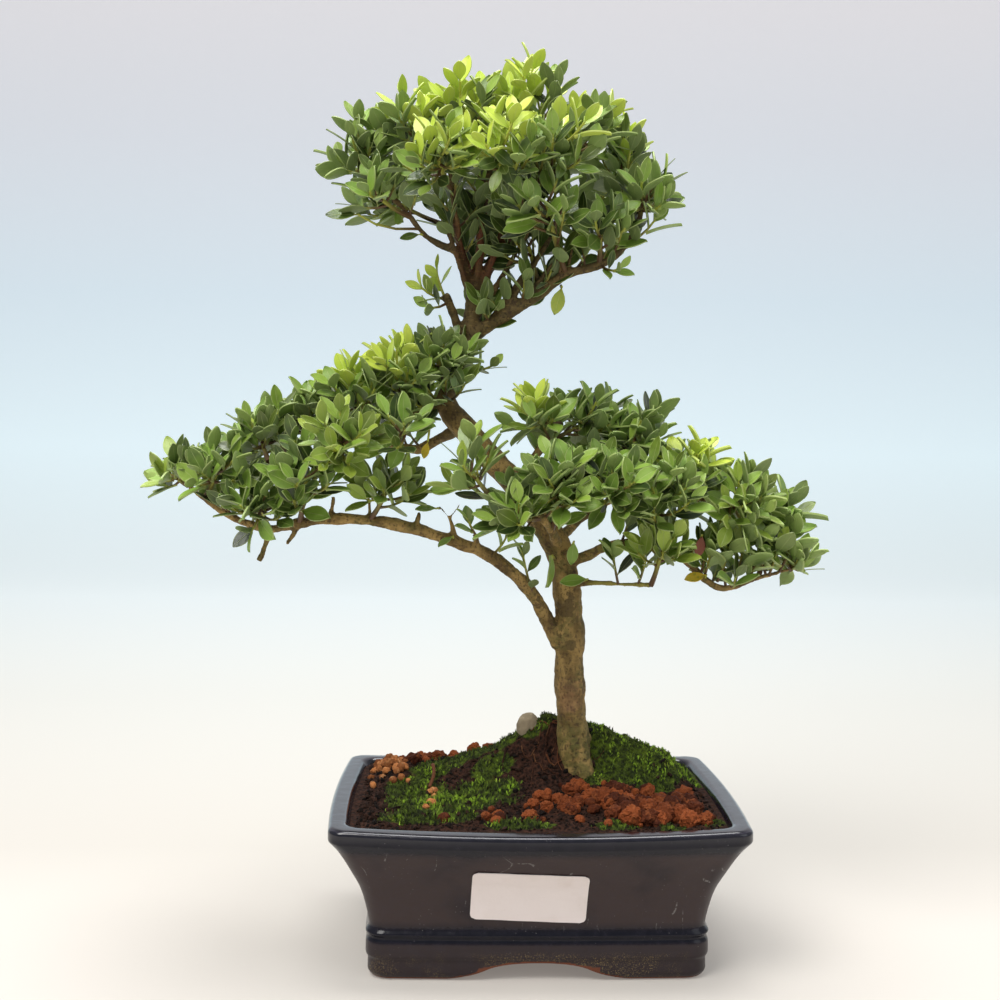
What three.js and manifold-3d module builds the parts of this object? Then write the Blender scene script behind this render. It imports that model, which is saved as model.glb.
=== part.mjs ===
// A Japanese holly bonsai: a slanting trunk with three leafy pads in a glazed rectangular pot.
// Millimetres, +Z up, the pot's long side along X and its front towards -Y.
import * as THREE from 'three';
import { mergeVertices } from 'three/addons/utils/BufferGeometryUtils.js';
import Module from 'manifold-3d';

const wasm = await Module();
wasm.setup();

// Driving dimensions
const CLEARANCE = 0.3;
const POT = {
  length: 185,
  depth: 140,
  height: 72,
  cornerRadius: 6,
  cornerGrowth: 0.12,
  longBow: 4,
  shortBow: 3,
  bowGrowth: 1,
  sag: 2,
  recess: 9,
  floor: 14,
  archHeight: 8,
  frontArch: 83,
  sideArch: 60,
  drainRadius: 8,
  drainOffset: 38,
  drainSides: 10,
};
// The curve of a foot arch from its corner to its middle, as shares of its half width and its height
const ARCH = { corner: 0.05, toe: [0.72, 0.2], shoulder: [0.55, 0.62], crest: [0.38, 1] };
const SOIL = {
  edge: 69,
  level: 1,
  rimWidth: 9,
  rimSlope: 16,
  mound: 32,
  peakX: 14,
  peakY: 20,
  spreadLeft: 38,
  spreadRight: 50,
  spreadBack: 26,
  steepFront: 14,
  gentleFront: 45,
  steepShare: 0.8,
  wave: 0.6,
};
const SCREEN = { side: 24, thick: 1, hole: 7, pitch: 5 };
const LABEL = { width: 51, height: 23, thick: 0.6, x: -4.6, z: 37.5, tilt: -1.5, corner: 2.5, reach: 30 };
const STONE = { x: -1, y: 20, z: 96.5, half: [6.5, 5.5, 8.5] };
const LUMP = { closest: 0.72, farthest: 0.9, sunk: 0.45, tries: 4000 };
const LEAF = {
  length: 16,
  width: 7.4,
  youngNarrower: 0.1,
  thick: 0.8,
  stalk: 0.2,
  curl: 0.1,
  shoulder: 0.32,
  shoulderWidth: 0.4,
  widest: 0.72,
  keepOff: 0.35,
};
const SHOOT = { stem: 1.4, stemTip: 1, foot: 0.6, tip: 0.52, end: 0.97 };

// How the shoots of a spray fan out from its stem
const FAN = {
  sag: 0.1,
  onwards: 0.7,
  upright: 0.6,
  opening: 1.25,
  wobble: 0.35,
  reach: [0.85, 1.1],
  footSpan: 0.45,
};
// How the leaves of a shoot follow each other, from its tip back
const LEAF_ORDER = {
  fewest: 7,
  more: 3,
  step: 1.74,
  stepGrowth: 0.232,
  lowest: 0.1,
  spread: 0.35,
  spreadGrowth: 0.14,
  spreadUntil: 5,
  spreadWobble: 0.12,
  sizes: [0.85, 1.15],
  tipSize: 0.72,
  firstSize: 0.78,
  sizeGrowth: 0.07,
  lift: 0.1,
  roll: 0.35,
};
// How much a blade's upper side looks on along its shoot, up, and in towards the shoot
const FACE = { onwards: 0.7, up: 0.55, inwards: 0.3 };
const GOLDEN_TURN = 2.39996;
// A nearly level direction that no shoot points along, from which the turns round a shoot are counted
const TURN_START = new THREE.Vector3(0.36, 0.93, 0.05);

// How far in from the rim the pot's outside stands at each height, from the foot's inner edge to the rim
const POT_OUTSIDE = [
  [28, 9], [27, 0], [18.6, 0], [17, 2.4], [17.2, 8.6], [16.2, 10.4], [16.3, 16.4], [17.3, 18.6],
  [16, 20.6], [17.7, 23], [17, 28.5], [14.4, 40], [11, 47.4], [5, 59.6], [0, 66], [0, 70.6], [1.6, 72],
];
// The heights between which the outside is one flare, from the ledge of the foot to the band of the rim
const FLARE = { bottom: 20.6, top: 60 };
// How far in the inside stands, from the rim down to the floor
const POT_INSIDE = [[7.4, 72], [9, 70], [16.5, 52.5], [23, 36], [25, 17], [28, 14]];

// Each limb's route, from its foot out, and its radius at even steps along that route
const LIMBS = {
  trunk: {
    sides: 9,
    steps: 20,
    radii: [7, 7.9, 8.2, 7.8, 7.4, 7.2, 7, 6.9, 6.7, 6.4, 6.2, 6, 5.9, 5.7, 4.6, 3.7, 3.8, 4.2, 3.4],
    route: [
      [22, 10, 48], [21, 9, 62], [21, 8, 75], [20, 8, 94], [18, 7, 114], [17, 6, 134], [17, 5, 151],
      [15, 4, 168], [12, 3, 185], [4, 2, 199], [-8, 2, 216], [-20, 0, 229], [-32, -2, 242],
      [-43, -2, 255], [-43, 0, 264], [-36, 2, 275], [-33, 3, 287], [-32, 3, 299], [-31, 4, 311],
    ],
  },
  leftLow: {
    sides: 6,
    steps: 13,
    radii: [3.6, 3.5, 3.3, 3, 2.8, 2.5, 2.2, 1.7, 1.1],
    route: [
      [12, 5, 141], [6, 3, 153], [0, 0, 164], [-9, -4, 175], [-22, -8, 185], [-39, -10, 192],
      [-58, -12, 198], [-79, -12, 202], [-98, -10, 202], [-112, -8, 200], [-126, -6, 197],
      [-143, -5, 202], [-157, -5, 211], [-164, -6, 217],
    ],
  },
  leftUp: {
    sides: 5,
    steps: 7,
    radii: [3, 2.4, 2.2, 1.8, 1.1],
    route: [
      [-43, -3, 255], [-51, -6, 255], [-61, -10, 251], [-70, -14, 245], [-81, -18, 239],
      [-95, -20, 236], [-108, -20, 232], [-125, -18, 229],
    ],
  },
  leftBack: {
    sides: 5,
    steps: 6,
    radii: [3, 2.3, 2, 1.1],
    route: [
      [-36, -1, 246], [-47, 12, 240], [-57, 20, 235], [-67, 28, 236], [-82, 34, 239],
      [-99, 36, 236], [-117, 34, 232],
    ],
  },
  rightMain: {
    sides: 5,
    steps: 9,
    radii: [3, 2.4, 2.2, 2, 1.5, 0.9],
    route: [
      [14, 3, 181], [24, 0, 185], [31, -3, 189], [41, -8, 192], [55, -12, 191], [69, -14, 185],
      [78, -16, 176], [88, -17, 172], [103, -18, 177], [118, -17, 181],
    ],
  },
  rightUp: {
    sides: 4,
    steps: 6,
    radii: [2.6, 2.1, 1.8, 1],
    route: [
      [4, 2, 199], [13, -6, 212], [24, -12, 222], [38, -16, 223], [54, -18, 221], [70, -18, 216],
      [85, -16, 211],
    ],
  },
  rightBack: {
    sides: 4,
    steps: 5,
    radii: [2.6, 2, 1.7, 1],
    route: [[9, 4, 190], [22, 18, 201], [38, 28, 210], [56, 34, 213], [75, 38, 210], [93, 36, 204]],
  },
  rightFront: {
    sides: 4,
    steps: 4,
    radii: [2.4, 1.9, 1.5, 0.9],
    route: [[11, 2, 188], [6, -16, 198], [0, -30, 205], [-10, -38, 211], [-20, -42, 212]],
  },
  rightTop: {
    sides: 4,
    steps: 3,
    radii: [2.4, 1.7, 1.1],
    route: [[-8, 2, 216], [-4, -4, 228], [3, -8, 240], [10, -8, 248]],
  },
  rightStub: {
    sides: 4,
    steps: 2,
    radii: [1.6, 1.3, 1.2],
    route: [[15, 2, 171], [25, -8, 173], [36, -12, 173], [53, -16, 173]],
  },
  crownRight: {
    sides: 6,
    steps: 8,
    radii: [3.4, 3.1, 2.6, 2, 1.2],
    route: [
      [-33, 3, 287], [-26, 0, 293], [-19, -4, 297], [-10, -8, 303], [0, -12, 309], [11, -16, 317],
      [26, -20, 321], [37, -20, 329], [44, -18, 341],
    ],
  },
  crownLeft: {
    sides: 5,
    steps: 5,
    radii: [2.4, 1.8, 1.6, 1.1],
    route: [[-32, 4, 309], [-35, 0, 320], [-38, -4, 331], [-40, -7, 342], [-42, -8, 356], [-44, -8, 370]],
  },
  crownLeftOut: {
    sides: 4,
    steps: 5,
    radii: [2, 1.5, 1.3, 0.9],
    route: [
      [-37, -3, 328], [-46, -8, 330], [-54, -12, 334], [-61, -16, 342], [-68, -18, 349], [-77, -16, 355],
    ],
  },
  crownMid: {
    sides: 5,
    steps: 5,
    radii: [3.2, 3.1, 2.4, 1.8, 1.1],
    route: [[-32, 4, 307], [-30, 8, 325], [-28, 10, 338], [-27, 10, 352], [-24, 8, 368], [-21, 6, 382]],
  },
  crownBack: {
    sides: 4,
    steps: 4,
    radii: [2.6, 2, 1.6, 1],
    route: [[-31, 4, 309], [-23, 14, 326], [-17, 24, 339], [-10, 30, 353], [-4, 34, 366]],
  },
  crownInner: {
    sides: 4,
    steps: 5,
    radii: [2.6, 2, 1.6, 1],
    route: [[-31, 4, 308], [-21, 0, 327], [-15, -6, 335], [-7, -12, 347], [1, -14, 360], [8, -14, 372]],
  },
  crownBackLeft: {
    sides: 4,
    steps: 3,
    radii: [2.2, 1.8, 1.4, 1],
    route: [[-31, 5, 310], [-37, 18, 332], [-45, 28, 345], [-53, 34, 360]],
  },
  stubLeft: {
    sides: 5,
    steps: 2,
    radii: [2.2, 2.1, 2],
    route: [[-34, 4, 282], [-38, 3, 291], [-42, 0, 303], [-45, -1, 308]],
  },
};

// Pruned twigs: the limb, the route point that each one grows from, and where it was cut
const CUT_TWIGS = [
  ['leftLow', 10, [-131, -6, 182], 1.6],
  ['leftLow', 9, [-118, -9, 190], 1.1],
  ['leftLow', 7, [-80, -12, 214], 1.3],
  ['leftLow', 8, [-96, -11, 213], 1.2],
  ['leftLow', 5, [-40, -11, 199], 1.5],
  ['leftLow', 6, [-56, -13, 206], 1.2],
  ['rightStub', 2, [42, -13, 183], 1],
  ['rightStub', 3, [58, -17, 180], 1],
];

// Leafy sprays: the limb and route point that each grows from, the middle of its head, the head's
// half sizes, its shoots, and how much of its growth is this year's
const SPRAYS = [
  ['crown_peak_right', 'crownInner', 5, [-7, -8, 398], [16, 15, 14], 6, 1],
  ['crown_peak_left', 'crownMid', 5, [-38, -4, 394], [16, 15, 12], 6, 0.9],
  ['crown_shoulder_left', 'crownLeft', 5, [-64, -10, 383], [14, 14, 12], 5, 0.7],
  ['crown_left_tip', 'crownLeftOut', 5, [-84, -6, 368], [13, 14, 14], 6, 0.2],
  ['crown_left_low', 'crownLeftOut', 3, [-76, -26, 350], [14, 14, 10], 5, 0],
  ['crown_shoulder_right', 'crownInner', 4, [22, -12, 385], [14, 14, 11], 5, 0.5],
  ['crown_right_high', 'crownRight', 7, [38, 4, 376], [13, 15, 14], 6, 0.8],
  ['crown_right_tip', 'crownRight', 8, [46, -18, 350], [12, 14, 14], 6, 0.1],
  ['crown_right_low', 'crownRight', 6, [26, -26, 336], [14, 14, 9], 5, 0],
  ['crown_front_low', 'crownRight', 5, [0, -42, 345], [16, 12, 13], 5, 0],
  ['crown_front', 'crownInner', 3, [-20, -46, 368], [16, 12, 14], 6, 1],
  ['crown_front_left', 'crownLeft', 4, [-48, -42, 363], [15, 13, 14], 5, 0.4],
  ['crown_front_right', 'crownInner', 2, [6, -44, 370], [14, 12, 14], 5, 0.2],
  ['crown_under', 'crownRight', 4, [-6, -10, 330], [13, 12, 10], 5, 0],
  ['crown_top_back', 'crownMid', 4, [-20, 26, 397], [16, 15, 13], 6, 0.8],
  ['crown_back_left', 'crownBackLeft', 3, [-50, 42, 379], [16, 14, 14], 6, 0.4],
  ['crown_back_right', 'crownBack', 4, [12, 42, 382], [16, 14, 14], 6, 0.4],
  ['crown_back_tip', 'crownBack', 3, [34, 34, 356], [14, 15, 14], 5, 0.1],
  ['crown_back', 'crownBack', 2, [-14, 52, 362], [15, 11, 14], 5, 0.2],
  ['crown_left_back', 'crownBackLeft', 2, [-73, 24, 358], [14, 14, 14], 5, 0.1],
  ['left_tip', 'leftLow', 13, [-170, -6, 221], [9, 12, 10], 5, 0.5],
  ['left_outer', 'leftLow', 12, [-149, -18, 223], [14, 12, 12], 5, 0.1],
  ['left_outer_top', 'leftUp', 7, [-130, -8, 239], [14, 14, 13], 6, 0.3],
  ['left_outer_low', 'leftLow', 10, [-128, -24, 209], [15, 12, 14], 6, 0],
  ['left_mid_top', 'leftUp', 6, [-108, -2, 250], [14, 14, 12], 5, 0.5],
  ['left_high', 'leftUp', 3, [-88, -12, 260], [15, 14, 12], 6, 0.8],
  ['left_front', 'leftUp', 5, [-88, -42, 238], [15, 12, 13], 6, 0.2],
  ['left_crest', 'leftUp', 2, [-66, -12, 270], [14, 14, 12], 6, 0.8],
  ['left_front_high', 'leftUp', 1, [-64, -38, 242], [14, 12, 12], 5, 0],
  ['left_elbow', 'trunk', 14, [-48, -8, 277], [13, 14, 10], 5, 0.1],
  ['left_front_low', 'leftLow', 9, [-106, -36, 222], [15, 12, 12], 5, 0],
  ['left_inner_low', 'leftLow', 7, [-70, -26, 217], [13, 12, 9], 5, 0],
  ['left_back_mid', 'leftBack', 5, [-98, 38, 250], [15, 14, 12], 6, 0.2],
  ['left_back_outer', 'leftBack', 6, [-132, 30, 234], [14, 14, 12], 5, 0.1],
  ['left_back_high', 'leftBack', 3, [-66, 36, 262], [15, 14, 13], 6, 0.2],
  ['right_inner_tip', 'rightFront', 4, [-32, -42, 226], [10, 10, 14], 5, 0.2],
  ['right_crest_left', 'rightTop', 3, [-2, -18, 250], [12, 12, 12], 6, 0.9],
  ['right_crest', 'rightTop', 2, [24, 6, 250], [15, 15, 11], 6, 0.1],
  ['right_crest_right', 'rightUp', 3, [46, -6, 243], [14, 14, 11], 6, 0.1],
  ['right_front', 'rightFront', 1, [8, -44, 222], [15, 12, 13], 6, 0.1],
  ['right_front_left', 'rightFront', 2, [-11, -44, 206], [12, 11, 11], 5, 0.1],
  ['right_front_mid', 'rightUp', 2, [32, -44, 219], [14, 12, 12], 6, 0],
  ['right_front_outer', 'rightMain', 4, [54, -36, 218], [14, 12, 13], 6, 0.1],
  ['right_shoulder', 'rightUp', 5, [72, -12, 228], [13, 14, 11], 5, 0.7],
  ['right_outer', 'rightUp', 6, [93, -22, 212], [13, 13, 13], 6, 0.2],
  ['right_tip', 'rightMain', 8, [111, -6, 201], [12, 13, 13], 6, 0.1],
  ['right_end', 'rightMain', 9, [121, -16, 183], [6, 9, 6], 5, 0.1],
  ['right_low', 'rightStub', 3, [56, -28, 190], [11, 9, 10], 5, 0.3],
  ['right_back', 'rightBack', 2, [36, 40, 232], [17, 15, 13], 6, 0.1],
  ['right_back_outer', 'rightBack', 4, [76, 36, 222], [16, 14, 13], 6, 0.1],
];

const UP = new THREE.Vector3(0, 0, 1);

/** A repeatable source of numbers from 0 to 1. */
function seeded(seed) {
  let state = seed >>> 0;
  return () => {
    state = (state + 0x6d2b79f5) >>> 0;
    let mixed = state;
    mixed = Math.imul(mixed ^ (mixed >>> 15), mixed | 1);
    mixed ^= mixed + Math.imul(mixed ^ (mixed >>> 7), mixed | 61);
    return ((mixed ^ (mixed >>> 14)) >>> 0) / 4294967296;
  };
}

function between(draw, low, high) {
  return low + (high - low) * draw();
}

/** Turns a closed geometry into a solid with its faces pointing out. */
function toSolid(geometry) {
  const bare = geometry.clone();
  bare.deleteAttribute('normal');
  bare.deleteAttribute('uv');
  const merged = mergeVertices(bare, 1e-4);
  const corners = Float32Array.from(merged.attributes.position.array);
  const faces = Uint32Array.from(merged.index.array);
  let volume = 0;
  const [a, b, c] = [new THREE.Vector3(), new THREE.Vector3(), new THREE.Vector3()];
  const proper = [];
  for (let i = 0; i < faces.length; i += 3) {
    if (faces[i] === faces[i + 1] || faces[i + 1] === faces[i + 2] || faces[i] === faces[i + 2]) continue;
    proper.push(faces[i], faces[i + 1], faces[i + 2]);
    a.fromArray(corners, faces[i] * 3);
    b.fromArray(corners, faces[i + 1] * 3);
    c.fromArray(corners, faces[i + 2] * 3);
    volume += a.dot(b.cross(c));
  }
  if (volume < 0) {
    for (let i = 0; i < proper.length; i += 3) {
      [proper[i + 1], proper[i + 2]] = [proper[i + 2], proper[i + 1]];
    }
  }
  return new wasm.Manifold(new wasm.Mesh({
    numProp: 3,
    vertProperties: corners,
    triVerts: Uint32Array.from(proper),
  }));
}

function joined(solids) {
  return solids.reduce((whole, next) => whole.add(next));
}

/** The biggest of the pieces that a solid falls into. */
function mainPiece(solid) {
  return solid.decompose().reduce((best, next) => (next.volume() > best.volume() ? next : best));
}

/** A named mesh of a solid in one finish. */
function toMesh(name, solid, finish) {
  const mesh = solid.getMesh();
  const geometry = new THREE.BufferGeometry();
  geometry.setAttribute('position', new THREE.BufferAttribute(Float32Array.from(mesh.vertProperties), 3));
  geometry.setIndex(Array.from(mesh.triVerts));
  const flat = geometry.toNonIndexed();
  flat.computeVertexNormals();
  const part = new THREE.Mesh(flat, new THREE.MeshStandardMaterial(finish));
  part.name = name;
  return part;
}

const GLAZE = { color: 0x1b1d2b, roughness: 0.22, metalness: 0 };
const EARTH = { color: 0x35301c, roughness: 0.95, metalness: 0 };
const PAPER = { color: 0xf2ecec, roughness: 0.6, metalness: 0 };
const PEBBLE = { color: 0x9c8d78, roughness: 0.85, metalness: 0 };
const RED_CLAY = { color: 0x7b3d22, roughness: 0.95, metalness: 0 };
const OCHRE_CLAY = { color: 0xa8693f, roughness: 0.95, metalness: 0 };
const PLASTIC_NET = { color: 0x2a2c2a, roughness: 0.6, metalness: 0 };
const BARK = { color: 0x857a62, roughness: 0.85, metalness: 0 };
const OLD_LEAF = new THREE.Color(0x3f6a2c);
const YOUNG_LEAF = new THREE.Color(0xb4cf38);

// The pot's plan: how many points each corner, long side and short side has
const CORNER_STEPS = 3;
const LONG_STEPS = 3;
const SHORT_STEPS = 2;

/** The rounded rectangle that stands a given way in from the rim, as corners to fill in. */
function potRing(inset) {
  const halfLength = POT.length / 2 - inset;
  const halfDepth = POT.depth / 2 - inset;
  const radius = Math.min(POT.cornerRadius + POT.cornerGrowth * inset, halfDepth * 0.6);
  const ring = [];
  const quarter = (centreX, centreY, start) => {
    for (let i = 0; i <= CORNER_STEPS; i += 1) {
      const angle = start + (i / CORNER_STEPS) * (Math.PI / 2);
      ring.push([centreX + radius * Math.cos(angle), centreY + radius * Math.sin(angle)]);
    }
  };
  const side = (from, to, steps) => {
    for (let i = 1; i < steps; i += 1) {
      ring.push([
        THREE.MathUtils.lerp(from[0], to[0], i / steps),
        THREE.MathUtils.lerp(from[1], to[1], i / steps),
      ]);
    }
  };
  const innerX = halfLength - radius;
  const innerY = halfDepth - radius;
  quarter(innerX, innerY, 0);
  side([innerX, halfDepth], [-innerX, halfDepth], LONG_STEPS);
  quarter(-innerX, innerY, Math.PI / 2);
  side([-halfLength, innerY], [-halfLength, -innerY], SHORT_STEPS);
  quarter(-innerX, -innerY, Math.PI);
  side([-innerX, -halfDepth], [innerX, -halfDepth], LONG_STEPS);
  quarter(innerX, -innerY, -Math.PI / 2);
  side([halfLength, -innerY], [halfLength, innerY], SHORT_STEPS);
  return ring;
}

const RING_POINTS = potRing(0).length;

/** Bows the sides of the plan outwards and lets the middle of the long sides sink. */
function settle(x, y, z, inset) {
  const grown = THREE.MathUtils.clamp(z / POT.height, 0, 1);
  const alongX = THREE.MathUtils.clamp(x / (POT.length / 2), -1, 1);
  const alongY = THREE.MathUtils.clamp(y / (POT.depth / 2), -1, 1);
  const growth = POT.bowGrowth * (1 - grown);
  const longBow = (POT.longBow - growth) * (1 - alongX * alongX);
  const shortBow = (POT.shortBow - growth) * (1 - alongY * alongY);
  const wall = THREE.MathUtils.clamp(1 - inset / (POT.depth / 2), 0, 1);
  return new THREE.Vector3(
    x + shortBow * alongX,
    y + longBow * alongY,
    z - POT.sag * grown * grown * (1 - alongX * alongX) * wall,
  );
}

/** A closed body of pot rings: a profile of [inset, height], with its first and last point on the axis. */
function ringBody(profile, place) {
  const turned = new THREE.LatheGeometry(
    profile.map((_, row) => new THREE.Vector2(row === 0 || row === profile.length - 1 ? 0 : 1, row)),
    RING_POINTS,
  );
  const position = turned.attributes.position;
  for (let i = 0; i < position.count; i += 1) {
    const row = i % profile.length;
    const column = Math.floor(i / profile.length) % RING_POINTS;
    const onAxis = row === 0 || row === profile.length - 1;
    const [inset, z] = profile[row];
    const [x, y] = onAxis ? [0, 0] : potRing(inset)[column];
    const point = place(x, y, z, onAxis ? POT.depth / 2 : inset);
    position.setXYZ(i, point.x, point.y, point.z);
  }
  return toSolid(turned);
}

/** A solid of an outline drawn in X and Z, running a given length along Y through the middle. */
function acrossY(outline, length) {
  const settings = { depth: length, bevelEnabled: false, curveSegments: 3 };
  const geometry = new THREE.ExtrudeGeometry(outline, settings);
  geometry.translate(0, 0, -length / 2);
  geometry.rotateX(Math.PI / 2);
  return toSolid(geometry);
}

/** The opening between two of the pot's feet: an ogee that rises to a flat middle. */
function footArch(width) {
  const half = width / 2;
  const at = ([across, up], side) => [side * across * half, up * POT.archHeight];
  const arch = new THREE.Shape();
  arch.moveTo(-half, -1);
  arch.lineTo(...at([1, ARCH.corner], -1));
  arch.quadraticCurveTo(...at(ARCH.toe, -1), ...at(ARCH.shoulder, -1));
  arch.quadraticCurveTo(...at(ARCH.crest, -1), 0, POT.archHeight);
  arch.quadraticCurveTo(...at(ARCH.crest, 1), ...at(ARCH.shoulder, 1));
  arch.quadraticCurveTo(...at(ARCH.toe, 1), ...at([1, ARCH.corner], 1));
  arch.lineTo(half, -1);
  arch.closePath();
  return arch;
}

function makePot() {
  const profile = [[0, POT.recess], ...POT_OUTSIDE, ...POT_INSIDE, [0, POT.floor]];
  let body = ringBody(profile, settle);
  body = body.subtract(acrossY(footArch(POT.frontArch), POT.depth));
  const sideways = acrossY(footArch(POT.sideArch), POT.length).rotate([0, 0, 90]);
  body = body.subtract(sideways);
  for (const x of [-POT.drainOffset, POT.drainOffset]) {
    const drill = new THREE.CylinderGeometry(POT.drainRadius, POT.drainRadius, POT.floor, POT.drainSides);
    drill.rotateX(Math.PI / 2);
    drill.translate(x, 0, POT.floor);
    body = body.subtract(toSolid(drill));
  }
  return body;
}

/** The height of the soil: level with the rim at the walls, heaped over the root ball. */
function soilHeight(x, y) {
  const bell = (distance, width) => Math.exp(-((distance / width) ** 2));
  const spread = x < SOIL.peakX ? SOIL.spreadLeft : SOIL.spreadRight;
  const ridge = 1 / (1 + ((x - SOIL.peakX) / spread) ** 2);
  const behind = y - SOIL.peakY;
  const front = SOIL.steepShare * bell(behind, SOIL.steepFront)
    + (1 - SOIL.steepShare) * bell(behind, SOIL.gentleFront);
  const slope = behind > 0 ? bell(behind, SOIL.spreadBack) : front;
  const wallX = POT.length / 2 - SOIL.rimWidth - Math.abs(x);
  const wallY = POT.depth / 2 - SOIL.rimWidth - Math.abs(y);
  const inside = THREE.MathUtils.smoothstep(Math.min(wallX, wallY), 0, SOIL.rimSlope);
  const waves = Math.sin(x * 0.31 + y * 0.17) + Math.sin(x * 0.13 - y * 0.29 + 1.3);
  return SOIL.edge + inside * (SOIL.mound * ridge * slope + SOIL.wave * waves + SOIL.level);
}

// How far in from the rim the rings of the soil's surface lie
const SOIL_RINGS = [15, 23, 32, 42, 53];

/** The soil: the pot's hollow, filled, with a heaped surface that a lift raises. */
function makeSoil(lift) {
  const gap = CLEARANCE + 0.05;
  const walls = POT_INSIDE.slice(1).reverse().map(([inset, z]) => [inset + gap, z]);
  walls[0][1] = POT.floor + gap;
  walls.pop();
  const surface = [SOIL.rimWidth + gap, ...SOIL_RINGS, 0].map((inset) => [inset, Infinity]);
  return ringBody([[0, POT.floor + gap], ...walls, ...surface], (x, y, z, inset) => {
    if (z !== Infinity) return settle(x, y, z, inset);
    const top = settle(x, y, 0, inset);
    return new THREE.Vector3(top.x, top.y, soilHeight(top.x, top.y) + lift);
  });
}

/** Numbers spread evenly along 0 to 1, read at a place between them. */
function valueAt(values, place) {
  const exact = place * (values.length - 1);
  const low = Math.min(Math.floor(exact), values.length - 2);
  return THREE.MathUtils.lerp(values[low], values[low + 1], exact - low);
}

/** A round bar along a curve, thinning as its radii say, with flat ends. */
function bar(curve, radii, sides, steps, extra = 0) {
  const geometry = new THREE.CylinderGeometry(1, 1, 1, sides, steps);
  const frames = [];
  let side = new THREE.Vector3(0.3, 1, 0.1);
  for (let i = 0; i <= steps; i += 1) {
    const tangent = curve.getTangent(i / steps);
    side = side.clone().addScaledVector(tangent, -side.dot(tangent)).normalize();
    frames.push({ centre: curve.getPoint(i / steps), side, across: tangent.clone().cross(side) });
  }
  const position = geometry.attributes.position;
  for (let i = 0; i < position.count; i += 1) {
    const place = position.getY(i) + 0.5;
    const frame = frames[Math.round(place * steps)];
    const radius = valueAt(radii, place) + extra;
    // The middle of each flat end moves onto a corner, which saves its needless faces
    const onAxis = Math.hypot(position.getX(i), position.getZ(i)) < 0.5;
    const point = frame.centre.clone()
      .addScaledVector(frame.side, (onAxis ? 0 : position.getX(i)) * radius)
      .addScaledVector(frame.across, (onAxis ? 1 : position.getZ(i)) * radius);
    position.setXYZ(i, point.x, point.y, point.z);
  }
  return toSolid(geometry);
}

function limbCurve(route) {
  return new THREE.CatmullRomCurve3(route.map((p) => new THREE.Vector3(...p)), false, 'catmullrom', 0.5);
}

function limbPoint(limb, index) {
  return new THREE.Vector3(...LIMBS[limb].route[index]);
}

/** The trunk with its limbs and pruned twigs, all one wood, grown by an extra thickness if asked. */
function makeTrunk(extra) {
  const bars = Object.values(LIMBS).map(({ route, radii, sides, steps }) => (
    bar(limbCurve(route), radii, sides, steps, extra)));
  for (const [limb, index, end, radius] of CUT_TWIGS) {
    const foot = limbPoint(limb, index);
    const line = new THREE.LineCurve3(foot, new THREE.Vector3(...end));
    bars.push(bar(line, [radius, radius * 0.8], 5, 1, extra));
  }
  return joined(bars);
}

/** Where a spray's stem, shoots and leaves go, worked out from its row in SPRAYS. */
function planSpray([name, limb, index, middle, half, shootCount, youth], seed) {
  const draw = seeded(seed);
  const root = limbPoint(limb, index);
  const centre = new THREE.Vector3(...middle);
  const rise = centre.clone().sub(root);
  const bend = root.clone().lerp(centre, 0.5).addScaledVector(UP, -FAN.sag * rise.length());
  const stem = new THREE.QuadraticBezierCurve3(root, bend, centre);
  const axis = rise.clone().normalize().multiplyScalar(FAN.onwards).addScaledVector(UP, FAN.upright);
  axis.normalize();
  const shoots = [];
  for (let k = 0; k < shootCount; k += 1) {
    const share = (k + 0.5) / shootCount;
    const tilt = Math.acos(1 - FAN.opening * share);
    const turn = k * GOLDEN_TURN + between(draw, -FAN.wobble, FAN.wobble);
    const outwards = leaning(axis, aroundAxis(axis, turn), tilt);
    const stretch = between(draw, ...FAN.reach);
    const tip = new THREE.Vector3(...half).multiplyScalar(stretch).multiply(outwards).add(centre);
    const foot = stem.getPoint(1 - FAN.footSpan * (k / shootCount));
    const line = new THREE.LineCurve3(foot, tip);
    shoots.push({ line, leaves: planLeaves(line, foot.distanceTo(tip), youth, draw) });
  }
  return { name, stem, shoots, youth };
}

/** The direction that points away from an axis at a given turn round it. */
function aroundAxis(axis, turn) {
  const sideways = TURN_START.clone().cross(axis).normalize();
  const across = axis.clone().cross(sideways);
  return sideways.multiplyScalar(Math.cos(turn)).addScaledVector(across, Math.sin(turn));
}

/** An axis tilted by an angle towards a direction square to it. */
function leaning(axis, out, tilt) {
  return axis.clone().multiplyScalar(Math.cos(tilt)).addScaledVector(out, Math.sin(tilt));
}

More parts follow.
